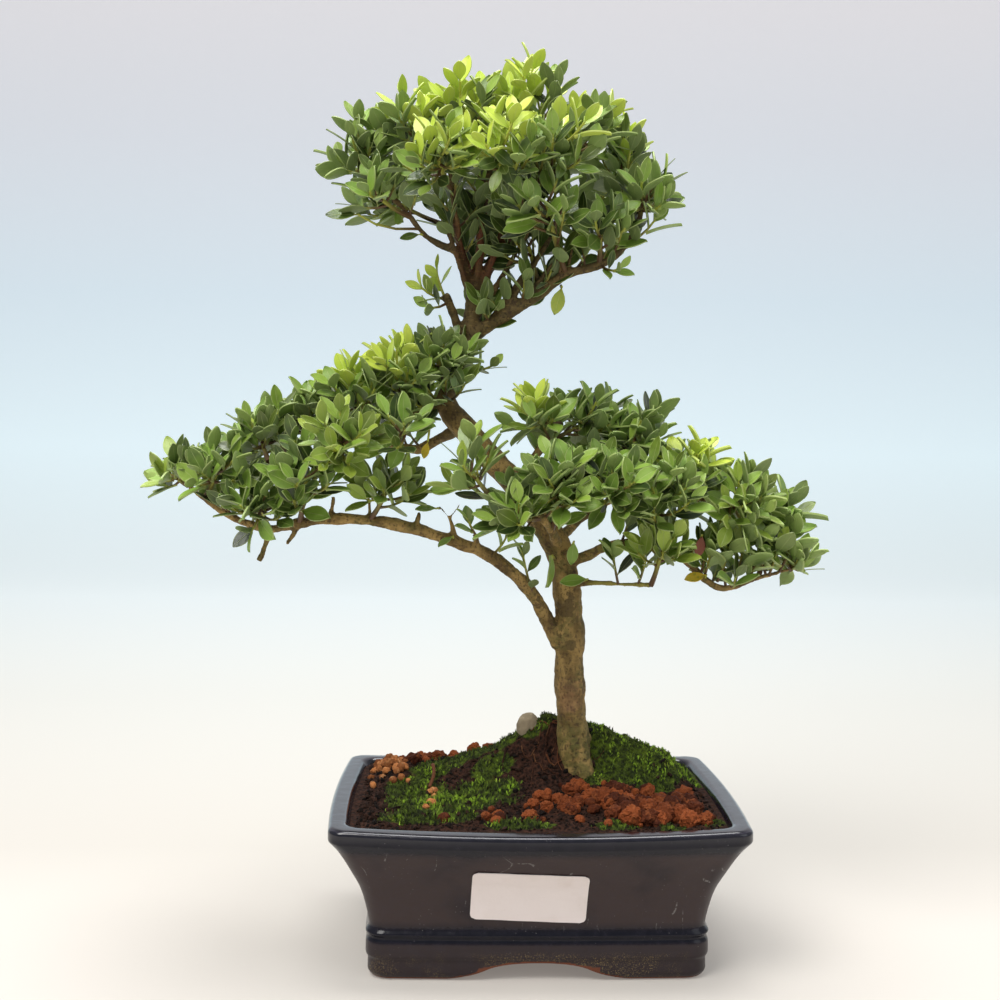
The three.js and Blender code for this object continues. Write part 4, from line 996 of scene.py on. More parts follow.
@dataclass(frozen=True)
class SoilFinish:
    """Dark humus with crumbs, greened where moss spreads."""

    dark: Colour = srgb(16, 9, 6)
    brown: Colour = srgb(74, 46, 34)
    moss: Colour = srgb(30, 38, 10)
    moss_light: Colour = srgb(78, 94, 24)

    def build(self) -> Material:
        """Makes the material.

        Returns:
            The material.
        """
        paint = Paint("potting_soil")
        grain = paint.clouds(1.4, 4.0, rough=0.7)
        lumps = paint.cells(2.0)
        green = paint.mix(paint.clouds(2.6, 3.0).ease(0.35, 0.7), self.moss, self.moss_light)
        colour = paint.over(
            self.dark,
            ((grain * 0.7 + lumps * 0.5).ease(0.3, 0.95), self.brown),
            (paint.mark("moss").ease(0.25, 0.6), green))
        relief = grain * 0.6 + lumps * 0.7
        return paint.surface(colour, 0.95, Normal=paint.bump(relief, 1.2), Specular_IOR_Level=0.2)


@dataclass(frozen=True)
class MossFinish:
    """Tufts of moss, dark at their foot and bright at their tips, and darkened by painted shade where the
    ground's painted light is low.
    """

    deep: Colour = srgb(26, 38, 8)
    bright: Colour = srgb(172, 210, 60)
    # Painted shade, laid over the moss where the ground's painted light is low
    moss_painted_shade: Colour = srgb(38, 42, 16)
    straw: Colour = srgb(150, 130, 62)

    def build(self) -> Material:
        """Makes the material.

        Returns:
            The material.
        """
        paint = Paint("moss")
        tone, tip = paint.mark("tone"), paint.mark("youth")
        colour = paint.over(
            self.deep,
            ((tip * 0.4 + tone * 0.8).ease(0.2, 0.98), self.bright),
            # Painted shade: the less painted light a tuft has, the more it takes the shade colour
            ((1.0 - paint.mark("wilt")) * 0.85, self.moss_painted_shade),
            (paint.clouds(9.0, 2.0).ease(0.6, 0.72) * tone * 0.6, self.straw))
        grain = paint.clouds(0.5, 2.0)
        return paint.surface(colour, 0.7 + grain * 0.2, Normal=paint.bump(grain, 0.15))


@dataclass(frozen=True)
class GrainFinish:
    """Baked clay, stone or humus crumbs in shades between two colours."""

    name: str
    dark: Colour
    light: Colour
    dust: Colour
    pores: float = 1.0
    relief: float = 0.6

    def build(self) -> Material:
        """Makes the material.

        Returns:
            The material.
        """
        paint = Paint(self.name)
        grain = paint.clouds(1.2, 4.0, rough=0.65)
        colour = paint.over(
            self.dark,
            ((paint.mark("tone") * 0.8 + grain * 0.6).ease(0.3, 1.05), self.light),
            (paint.clouds(3.5, 3.0).ease(0.52, 0.66) * 0.6, self.dust))
        pits = paint.cells(0.9).ease(0.3, 0.1) * self.pores
        height = grain * 0.7 - pits * 0.5
        return paint.surface(
            colour, 0.88 + grain * 0.1, Normal=paint.bump(height, self.relief), Specular_IOR_Level=0.25)


@dataclass(frozen=True)
class PaperFinish:
    """Blank label paper with a faint crinkle and yellowed stains."""

    paper: Colour = srgb(232, 221, 217)
    stain: Colour = srgb(206, 190, 178)

    def build(self) -> Material:
        """Makes the material.

        Returns:
            The material.
        """
        paint = Paint("label_paper")
        fibre = paint.clouds(1.2, 4.0, rough=0.65)
        colour = paint.over(
            self.paper,
            (paint.clouds(14.0, 3.0).ease(0.5, 0.85) * 0.5, self.stain),
            (fibre.ease(0.55, 0.9) * 0.3, self.stain))
        relief = paint.clouds(9.0, 2.0) * 0.8 + fibre * 0.2
        return paint.surface(colour, 0.5 + fibre * 0.15, Normal=paint.bump(relief, 0.35))


@dataclass(frozen=True)
class NetFinish:
    """Dull dark plastic net with soil dust."""

    plastic: Colour = srgb(34, 38, 36)
    dust: Colour = srgb(84, 70, 52)

    def build(self) -> Material:
        """Makes the material.

        Returns:
            The material.
        """
        paint = Paint("plastic_net")
        grain = paint.clouds(1.5, 3.0)
        colour = paint.mix(grain.ease(0.5, 0.8) * 0.7, self.plastic, self.dust)
        return paint.surface(colour, 0.45 + grain * 0.3, Normal=paint.bump(grain, 0.1))


@dataclass(frozen=True)
class BackdropFinish:
    """Pale studio paper, cream under the pot, bluish behind the tree and greyer high up."""

    glow: float = 0.38
    # How far along the sweep, from the pot back and up, and the colour there
    stops: Sequence[tuple[float, Colour]] = (
        (0.0, srgb(186, 181, 174)), (0.012, srgb(179, 175, 168)), (0.049, srgb(188, 188, 183)),
        (0.109, srgb(209, 216, 216)), (0.281, srgb(223, 238, 242)), (0.496, srgb(217, 230, 237)),
        (0.733, srgb(224, 227, 232)), (0.94, srgb(232, 229, 231)),
    )

    def build(self) -> Material:
        """Makes the material.

        Returns:
            The material.
        """
        paint = Paint("studio_paper")
        _, y, z = paint.parts(paint.here())
        ramp = paint.node("ShaderNodeValToRGB", {"stops": self.stops}, {0: (y * 0.2 + z) / 2.4})
        colour = Value(paint, ramp.outputs[0])
        return paint.surface(
            colour, 0.9, Specular_IOR_Level=0.1, Emission_Color=colour, Emission_Strength=self.glow)


class Slot(Enum):
    """The record's material slots, by name; the clods look their finishes up by them."""

    GLAZE = "navy_glaze"
    SOIL = "potting_soil"
    LABEL = "label_paper"
    STONE = "grey_stone"
    RED_CLAY = "red_clay"
    OCHRE_CLAY = "ochre_clay"
    BARK = "bark"
    OLD_LEAVES = "old_leaves"
    YOUNG_LEAVES = "young_leaves"


def enter(obj: Object, finish: Material, slot: Slot, *replaced: str) -> None:
    """Gives a piece its finish and its body, and hides the nodes that it stands for.

    Args:
        obj: the piece.
        finish: its material.
        slot: not used.
        replaced: the nodes that it stands for.
    """
    obj.data.materials.clear()
    obj.data.materials.append(finish)
    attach(obj, "root")
    if replaced:
        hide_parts(*replaced)
    LOG.info("%s: %d faces", obj.name, len(obj.data.polygons))


@dataclass
class Plan:
    """The pot's plan: rounded rectangles, bowed on all four sides."""

    length: float = 185.0
    depth: float = 140.0
    height: float = 72.0
    corner: float = 6.0
    corner_growth: float = 0.12
    long_bow: float = 4.0
    short_bow: float = 3.0
    bow_growth: float = 1.0
    sag: float = 2.0

    def outline(self, inset: float, steps: Steps) -> np.ndarray:
        """Gives the closed rectangle with rounded corners that stands a given way in from the rim.

        Args:
            inset: the way in from the rim.
            steps: the faces round each corner, along the front and along a side.

        Returns:
            Its points in X and Y, the last one on the first.
        """
        corner_steps, long_steps, short_steps = steps
        half = np.array([self.length / 2 - inset, self.depth / 2 - inset])
        radius = max(min(self.corner + self.corner_growth * inset, half[1] * 0.6), 0.0)
        inner = half - radius
        points: list[np.ndarray] = []
        for quarter, signs in enumerate(((1, 1), (-1, 1), (-1, -1), (1, -1))):
            turns = np.linspace(0, math.pi / 2, corner_steps + 1) + quarter * math.pi / 2
            arc = np.array(signs) * inner + radius * np.stack([np.cos(turns), np.sin(turns)], 1)
            if points:
                side_steps = long_steps if quarter in (1, 3) else short_steps
                points.append(np.linspace(points[-1][-1], arc[0], side_steps + 1)[1:-1])
            points.append(arc)
        points.append(np.linspace(points[-1][-1], points[0][0], short_steps + 1)[1:])
        return np.concatenate(points)

    def ring(self, inset: float, height: float, steps: Steps) -> np.ndarray:
        """Gives an outline at a height, bowed outwards, with the middle of its long sides sunk.

        Args:
            inset: the way in from the rim.
            height: the height.
            steps: the faces round each corner, along the front and along a side.

        Returns:
            The points, the last one on the first.
        """
        flat = self.outline(inset, steps)
        z = np.full(len(flat), float(height))
        grown = np.clip(z / self.height, 0, 1)
        along_x = np.clip(flat[:, 0] / (self.length / 2), -1, 1)
        along_y = np.clip(flat[:, 1] / (self.depth / 2), -1, 1)
        growth = self.bow_growth * (1 - grown)
        x = flat[:, 0] + (self.short_bow - growth) * (1 - along_y**2) * along_x
        y = flat[:, 1] + (self.long_bow - growth) * (1 - along_x**2) * along_y
        wall = min(max(1 - inset / (self.depth / 2), 0), 1)
        return np.stack([x, y, z - self.sag * grown**2 * (1 - along_x**2) * wall], 1)


@dataclass
class Pot:
    """The glazed pot: rim, flared walls, ledge and four feet between arches."""

    plan: Plan
    recess: float = 9.0
    floor: float = 14.0
    arch_height: float = 8.0
    front_arch: float = 83.0
    side_arch: float = 60.0
    drain_radius: float = 8.0
    drain_offset: float = 38.0
    drain_faces: int = 32
    drill_length: float = 30.0
    steps: Steps = (8, 62, 46)
    # The height above the ledge from which the wall rises, and how many of the section's points it has
    ledge_top: float = 22.0
    wall_points: int = 30
    # Clay shows up to this height over the table, and under the pot farther in than this inset
    bare_height: float = 0.8
    bare_inset: float = 18.2
    # The glaze is thin on the rim's two edges, above this height and outside these insets
    edge_height: float = 71.2
    edge_insets: tuple[float, float] = (1.2, 7.2)
    # The section from inside the foot up to the rim, then down to the floor: inset, height, rounding
    outside: Sequence[Point] = (
        (28, 9, 0.6), (27, 0, 0.6), (18.6, 0, 0.8), (17, 2.4, 1.5), (17.2, 8.6, 1.2), (16.2, 10.4, 1.0),
        (16.3, 16.4, 0.8), (17.3, 18.6, 1.0), (16, 20.6, 0.8), (17.7, 23, 1.2), (17, 28.5, 9), (14.4, 40, 9),
        (11, 47.4, 9), (5, 59.6, 9), (0, 66, 0.9), (0, 70.6, 1.0), (1.6, 72, 0.8),
    )
    inside: Sequence[Point] = (
        (7.4, 72, 1.2), (9, 70, 1.5), (16.5, 52.5, 9), (23, 36, 9), (25, 17, 2), (28, 14, 2),
    )

    def profile(self) -> np.ndarray:
        """Rounds the section off, and gives its insets and heights in order.

        Returns:
            The points.
        """
        section = np.array(self.outside + self.inside, dtype=float)
        rounded = [section[:1, :2]]
        for before, here, after in zip(section[:-2], section[1:-1], section[2:]):
            ends = []
            for other in (before, after):
                way = other[:2] - here[:2]
                reach = min(here[2], np.linalg.norm(way) / 2)
                ends.append(here[:2] + way / np.linalg.norm(way) * reach)
            t = np.linspace(0, 1, 5)[:, None]
            rounded.append((1 - t) ** 2 * ends[0] + 2 * t * (1 - t) * here[:2] + t**2 * ends[1])
        rounded.append(section[-1:, :2])
        return np.concatenate(rounded)

    def arch(self, across: np.ndarray, width: float) -> np.ndarray:
        """Gives the height of a foot arch at places across it, and 0 beside it.

        Args:
            across: the places, from the arch's middle.
            width: the arch's width.

        Returns:
            The heights.
        """
        t = np.linspace(0, 1, 24)[:, None]

        def curve(a: Sequence[float], b: Sequence[float], c: Sequence[float]) -> np.ndarray:
            """Gives a quadratic curve through two ends, pulled towards a middle."""
            return (1 - t) ** 2 * np.array(a) + 2 * t * (1 - t) * np.array(b) + t**2 * np.array(c)

        line = np.concatenate([
            curve((0, 1), (0.38, 1), (0.55, 0.62)), curve((0.55, 0.62), (0.72, 0.2), (1, 0.0)),
        ])
        return np.interp(np.abs(across) * 2 / width, line[:, 0], line[:, 1] * self.arch_height, right=0.0)

    def front(self, x: np.ndarray, z: np.ndarray) -> np.ndarray:
        """Gives how far the outside stands forward at a place on the front.

        Args:
            x: the places along the pot.
            z: their heights.

        Returns:
            Where the outside is in Y.
        """
        plan, profile = self.plan, self.profile()
        inset, height, _ = next(row for row in self.outside if row[1] > self.ledge_top)
        first = int(np.argmin(np.abs(profile[:, 1] - height) + np.abs(profile[:, 0] - inset)))
        wall = profile[first:first + self.wall_points]
        wall = wall[np.argsort(wall[:, 1])]
        half = plan.depth / 2 - np.interp(z, wall[:, 1], wall[:, 0])
        bow = plan.long_bow - plan.bow_growth * (1 - z / plan.height)
        bow = bow * (1 - (x * 2 / plan.length) ** 2)
        return -(half + bow * half * 2 / plan.depth)

    def build(self, glaze: Material) -> None:
        """Lofts the pot, lifts its arches, drills its drain holes and glazes it.

        Args:
            glaze: the glaze's material.
        """
        count = len(self.plan.outline(0, self.steps))
        rows, bare, edge = [np.tile([0, 0, self.recess], (count, 1))], [np.ones(count)], [np.zeros(count)]
        for inset, z in self.profile():
            ring = self.plan.ring(inset, z, self.steps)
            lift = np.zeros(count)
            if z < self.recess:
                arches = self.arch(ring[:, 0], self.front_arch), self.arch(ring[:, 1], self.side_arch)
                lift = np.minimum(np.maximum(*arches), self.recess - 0.4)
                ring[:, 2] = np.maximum(ring[:, 2], lift)
            rows.append(ring)
            under = inset > self.bare_inset and z <= self.recess
            bare.append(np.where((z - lift < self.bare_height) | under, 1.0, 0.0))
            on_top = self.edge_insets[0] <= inset <= self.edge_insets[1]
            edge.append(np.full(count, 1.0 if z > self.edge_height and not on_top else 0.0))
        rows.append(np.tile([0, 0, self.floor], (count, 1)))
        marks = {"bare": np.array([*bare, np.zeros(count)]), "edge": np.array([*edge, np.zeros(count)])}
        pot = Bench.sheet("glazed_pot", metres(np.array(rows)), marks)
        for side in (-1, 1):
            Bench.clear()
            at = metres(np.array([side * self.drain_offset, 0, self.floor])).tolist()
            bpy.ops.mesh.primitive_cylinder_add(
                vertices=self.drain_faces, radius=self.drain_radius * MM, depth=self.drill_length * MM,
                location=at)
            drill = bpy.context.object
            Bench.modify(pot, "BOOLEAN", object=drill, operation="DIFFERENCE", solver="EXACT")
            bpy.data.objects.remove(drill, do_unlink=True)
        Bench.smooth(pot, 38)
        enter(pot, glaze, Slot.GLAZE, "pot")


@dataclass
class Label:
    """A blank paper label that follows the flare of the pot's front."""

    pot: Pot
    width: float = 51.5
    height: float = 23.8
    thick: float = 0.35
    corner: float = 2.5
    x: float = -4.6
    z: float = 39.2
    tilt: float = -2.4
    columns: int = 61
    rows: int = 31
    gap: float = 0.35

    def build(self, paper: Material) -> None:
        """Bends the paper and rounds its corners.

        Args:
            paper: the paper's material.
        """
        across, up = np.linspace(-1, 1, self.columns), np.linspace(-1, 1, self.rows)
        v, u = np.meshgrid(up, across, indexing="ij")
        half = np.array([self.width / 2, self.height / 2])
        reach = np.abs(v) * half[1] - (half[1] - self.corner)
        cut = self.corner - np.sqrt(np.maximum(self.corner**2 - np.maximum(reach, 0) ** 2, 0))
        x, z = u * (half[0] - cut), v * half[1]
        turn = math.radians(self.tilt)
        x, z = x * math.cos(turn) - z * math.sin(turn), x * math.sin(turn) + z * math.cos(turn)
        x, z = x + self.x, z + self.z
        crinkle = 0.12 * np.sin(u * 9 + v * 3)
        corners = 0.5 * np.maximum(np.abs(u) + np.abs(v) - 1.72, 0)
        lift = self.gap + crinkle + corners + 1.3 * np.maximum(v - 0.45, 0)
        points = np.stack([x, self.pot.front(x, z) - lift, z], 2)
        label = Bench.sheet("blank_label", metres(points))
        Bench.modify(label, "SOLIDIFY", thickness=self.thick * MM, offset=0)
        Bench.smooth(label, 50)
        enter(label, paper, Slot.LABEL, "label")


@dataclass
class Ground:
    """The soil with its mound, and where moss, clods and humus lie on it."""

    plan: Plan
    edge: float = 69.0
    level: float = 1.0
    rim_width: float = 9.0
    rim_slope: float = 16.0
    mound: float = 32.0
    peak: tuple[float, float] = (14.0, 20.0)
    # How far the mound reaches to the left, to the right and back
    spread: Point = (38.0, 50.0, 26.0)
    # How far its steep and its gentle front reach, and the share of the steep one
    front: Point = (14.0, 45.0, 0.8)
    wave: float = 0.6
    floor: float = 16.0
    walls: Sequence[tuple[float, float]] = ((28, 16), (25.4, 17.6), (23.4, 36), (16.9, 52.5), (9.4, 69))
    grain: float = 1.12
    steps: Steps = (10, 140, 104)
    moss_patches: Sequence[Patch] = (
        (-42, -20, 34, 17), (-58, -2, 16, 16), (-22, -6, 16, 12), (-48, 20, 16, 14), (-20, 26, 26, 12),
        (46, 10, 20, 16), (70, 18, 20, 20), (30, 26, 24, 14), (20, 48, 60, 18), (-40, 48, 40, 16),
        (78, 46, 14, 18), (8, 34, 30, 12), (-78, -30, 8, 18), (34, -2, 12, 7), (60, -2, 10, 8),
        (34, -54, 12, 5), (76, -46, 9, 9), (-10, -54, 18, 5), (58, -56, 8, 4), (-20, 8, 12, 6),
        (2, 22, 8, 6), (3, 17, 9, 6), (-50, -42, 30, 11),
    )
    bare_patches: Sequence[Patch] = (
        (8, 0, 16, 12), (82, 2, 12, 14), (-82, -20, 14, 40), (40, -34, 36, 14), (-66, 40, 22, 14),
        (12, 12, 4, 5),
    )
    # Patches where the moss is painted lit; outside them it gets painted shade
    painted_light_patches: Sequence[Patch] = (
        (68, 18, 26, 14), (-46, -22, 18, 9), (-55, 14, 10, 9), (54, 23, 30, 11), (0, 50, 60, 14),
    )

    def height(self, x: np.ndarray, y: np.ndarray) -> np.ndarray:
        """Gives the soil's height, level with the rim at the walls and heaped over the roots.

        Args:
            x: the places along the pot.
            y: the places across it.

        Returns:
            The heights.
        """
        x, y = np.asarray(x, dtype=float), np.asarray(y, dtype=float)
        spread = np.where(x < self.peak[0], self.spread[0], self.spread[1])
        ridge = 1 / (1 + ((x - self.peak[0]) / spread) ** 2)
        behind = y - self.peak[1]
        steep, gentle, share = self.front
        ahead = share * np.exp(-(behind / steep) ** 2) + (1 - share) * np.exp(-(behind / gentle) ** 2)
        slope = np.where(behind > 0, np.exp(-(behind / self.spread[2]) ** 2), ahead)
        wall_x = self.plan.length / 2 - self.rim_width - np.abs(x)
        wall_y = self.plan.depth / 2 - self.rim_width - np.abs(y)
        inside = smoothstep(np.minimum(wall_x, wall_y), 0, self.rim_slope)
        waves = np.sin(x * 0.31 + y * 0.17) + np.sin(x * 0.13 - y * 0.29 + 1.3)
        return self.edge + inside * (self.mound * ridge * slope + self.wave * waves + self.level)

    def crumbs(self, x: float, y: float) -> float:
        """Gives the fine relief on top of the soil's height.

        Args:
            x: the place along the pot.
            y: the place across it.

        Returns:
            The relief's height.
        """
        wide = noise.fractal(Vector((x / 8, y / 8, 0.3)), 0.9, 2.1, 3)
        fine = noise.fractal(Vector((x / 2.6, y / 2.6, 4.7)), 0.6, 2.2, 3)
        half_x, half_y = self.plan.length / 2 - self.rim_width, self.plan.depth / 2 - self.rim_width
        wall = min(half_x - abs(x), half_y - abs(y))
        shoulder = 5.0 * math.exp(-((x - 7) / 7) ** 2 - ((y - 15) / 6) ** 2)
        mound = math.exp(-((x - 6) / 28) ** 2 - ((y - 12) / 16) ** 2)
        lumps = noise.fractal(Vector((x / 4.5, y / 4.5, 6.6)), 0.8, 2.1, 3) * mound * 1.6
        return (wide * 1.2 + fine * 0.8 + lumps) * min(max(wall / 6, 0.1), 1) + shoulder

    def top(self, x: float, y: float) -> float:
        """Gives how high the soil is at a place, with its fine relief."""
        return float(self.height(x, y)) + self.crumbs(x, y)

    @staticmethod
    def inside(x: float, y: float, patches: Sequence[Patch]) -> float:
        """Gives how deep in the nearest patch a place lies: 1 in its middle, 0 on its edge, less outside."""
        return max(1 - ((x - px) / rx) ** 2 - ((y - py) / ry) ** 2 for px, py, rx, ry in patches)

    def brightness(self, x: float, y: float) -> float:
        """Gives how much painted light the moss has at a place, from 0 to 1: random patches, raised in the
        patches of painted light.

        Args:
            x: the place along the pot.
            y: the place across it.

        Returns:
            The brightness.
        """
        patchy = noise.fractal(Vector((x / 6, y / 6, 2.2)), 0.7, 2.0, 3) * 1.8 + 0.38
        # Painted light inside the lit patches, painted shade outside them
        lit = max(self.inside(x, y, self.painted_light_patches), -0.4)
        return min(max(patchy - 0.08 + lit * 0.85, 0.0), 1.0)

    def moss(self, x: float, y: float) -> float:
        """Gives how thickly moss grows at a place, from 0 to 1.

        Args:
            x: the place along the pot.
            y: the place across it.

        Returns:
            The thickness.
        """
        ragged = noise.fractal(Vector((x / 11, y / 11, 8.1)), 0.8, 2.0, 4) * 0.5
        grown = min(max(self.inside(x, y, self.moss_patches) * 1.4 + ragged + 0.15, 0), 1)
        return grown * (1 - min(max(self.inside(x, y, self.bare_patches) * 2 + ragged, 0), 1))

    def build(self, soil: Material) -> None:
        """Fills the pot with soil that has a crumbly surface.

        Args:
            soil: the soil's material.
        """
        count = len(self.plan.outline(0, self.steps))
        rows = [np.tile([0, 0, self.floor], (count, 1))]
        rows += [self.plan.ring(inset, z, self.steps) for inset, z in self.walls]
        moss = [np.zeros(count) for _ in rows]
        for inset in (9.4, 9.9, *np.arange(10.6, 69, self.grain), 69.9):
            ring = self.plan.ring(inset, 0, self.steps)
            ring[:, 2] = self.height(ring[:, 0], ring[:, 1]) + [self.crumbs(x, y) for x, y, _ in ring]
            rows.append(ring)
            moss.append(np.array([self.moss(x, y) for x, y, _ in ring]))
        obj = Bench.sheet("crumbly_soil", metres(np.array(rows)), {"moss": np.array(moss)})
        Bench.smooth(obj, 60)
        enter(obj, soil, Slot.SOIL, "soil")


@dataclass
class Kit:
    """The small shapes that are modelled once and copied."""

    leaf: Shape = field(init=False)
    twig: Shape = field(init=False)
    vine: Shape = field(init=False)
    tuft: Shape = field(init=False)
    crumbs: list[Shape] = field(init=False)
    clods: list[Shape] = field(init=False)
    granules: list[Shape] = field(init=False)
    # Places along a leaf from its foot to its tip, and its width there
    blade: Sequence[tuple[float, float]] = (
        (0.0, 0.09), (0.09, 0.11), (0.19, 0.38), (0.33, 0.76), (0.49, 0.98), (0.64, 0.98), (0.79, 0.78),
        (0.91, 0.46), (1.0, 0.09),
    )

    def __post_init__(self) -> None:
        """Models every shape."""
        self.leaf = self.model_leaf()
        self.twig = self.model_bar(5, 4)
        self.vine = self.model_bar(6, 8)
        self.tuft = self.model_tuft()
        self.crumbs = [self.model_lump(1, seed, 0.34, 0) for seed in range(4)]
        self.clods = [self.model_lump(4, seed, 0.0, 1.0) for seed in range(4)]
        self.granules = [self.model_lump(3, seed, 0.0, 0.55) for seed in range(4)]

    def model_leaf(self) -> Shape:
        """Models a leaf of length and width one: narrow stalk, widest past the middle, folded and curled.

        Returns:
            The leaf.
        """
        Bench.clear()
        steps = len(self.blade) - 1
        # Rows that are done wait this far above, so that the next ones are found by their place
        aside = 10
        bpy.ops.mesh.primitive_grid_add(x_subdivisions=2, y_subdivisions=steps, size=1)
        leaf = bpy.context.object
        with Bench.editing(leaf):
            for number, (place, breadth) in enumerate(self.blade):
                old = number / steps - 0.5
                Bench.select(leaf, lambda co, old=old: abs(co.y - old) < 0.01 and co.z == 0)
                bpy.ops.transform.resize(value=(breadth, 1, 1), center_override=(0, 0, 0))
                curl = -0.11 * place**2
                bpy.ops.transform.translate(value=(0, place - old, aside + curl))
            Bench.select(leaf, lambda co: abs(co.x) < 1e-4)
            bpy.ops.transform.translate(value=(0, 0, -0.035))
            bpy.ops.mesh.select_all(action="SELECT")
            bpy.ops.transform.translate(value=(0, 0, -aside))
        first_under = len(leaf.data.vertices)
        Bench.modify(leaf, "SOLIDIFY", thickness=0.024, offset=-1)
        return Shape.take(leaf, first_under)

    @staticmethod
    def model_bar(sides: int, rings: int) -> Shape:
        """Models a bar of radius one along Y from 0 to 1, cut into rings and marked by its length.

        Args:
            sides: the faces round it.
            rings: the rings of points along it.

        Returns:
            The bar.
        """
        Bench.clear()
        bpy.ops.mesh.primitive_cylinder_add(
            vertices=sides, radius=1, depth=1, location=(0, 0.5, 0), rotation=(math.pi / 2, 0, 0))
        bpy.ops.object.transform_apply(location=True, rotation=True, scale=True)
        bar = bpy.context.object
        with Bench.editing(bar):
            bpy.ops.mesh.select_mode(type="EDGE")
            bpy.ops.mesh.select_all(action="DESELECT")
            bpy.ops.object.mode_set(mode="OBJECT")
            for edge in bar.data.edges:
                a, b = (bar.data.vertices[k].co for k in edge.vertices)
                edge.select = abs(a.y - b.y) > 0.5
            bpy.ops.object.mode_set(mode="EDIT")
            bpy.ops.mesh.subdivide(number_cuts=rings - 2)
        shape = Shape.take(bar)
        shape.under = np.clip(shape.points[:, 1], 0, 1)
        return shape

    @staticmethod
    def model_tuft() -> Shape:
        """Models a tuft of moss: five narrow spikes that lean apart, marked bright at their tips.

        Returns:
            The tuft.
        """
        spikes = []
        draw = Draw(77)
        for number in range(5):
            lean = 0.15 if number == 0 else draw.between(0.4, 0.8)
            turn = number * GOLDEN_TURN
            Bench.clear()
            bpy.ops.mesh.primitive_cone_add(
                vertices=3, radius1=0.17, radius2=0.0, depth=draw.between(0.8, 1.2), location=(0, 0, 0.45))
            spike = bpy.context.object
            bpy.ops.object.transform_apply(location=True, rotation=False, scale=False)
            spike.rotation_euler = (lean * math.sin(turn), lean * math.cos(turn), turn)
            spikes.append(spike)
        Bench.pick(*spikes)
        bpy.ops.object.transform_apply(location=True, rotation=True, scale=True)
        bpy.ops.object.join()
        shape = Shape.take(bpy.context.object)
        shape.under = np.clip(shape.points[:, 2], 0, 1)
        return shape

    @staticmethod
    def model_lump(fineness: int, seed: int, jitter: float, rough: float) -> Shape:
        """Models a lump of radius about one.

        Args:
            fineness: the subdivisions of its sphere.
            seed: the number that tells it from its kind.
            jitter: how far its corners are pushed about at random.
            rough: how strongly clouds push its surface in and out.

        Returns:
            The lump.
        """
        Bench.clear()
        bpy.ops.mesh.primitive_ico_sphere_add(subdivisions=fineness, radius=1)
        lump = bpy.context.object
        lump.name = f"lump_{fineness}_{seed}"
        # Each lump is shaped at its own place, where the clouds are others
        shift = seed * 7.3
        with Bench.editing(lump):
            bpy.ops.mesh.select_all(action="SELECT")
            bpy.ops.transform.translate(value=(shift, 0, 0))
            if jitter:
                bpy.ops.transform.vertex_random(offset=jitter, uniform=1, normal=0, seed=seed)
        if rough:
            for size, strength in ((1.2, 0.8), (0.45, 0.5), (0.2, 0.26)):
                Bench.roughen(lump, size, strength * rough)
        shape = Shape.take(lump)
        shape.points -= (shift, 0, 0)
        return shape


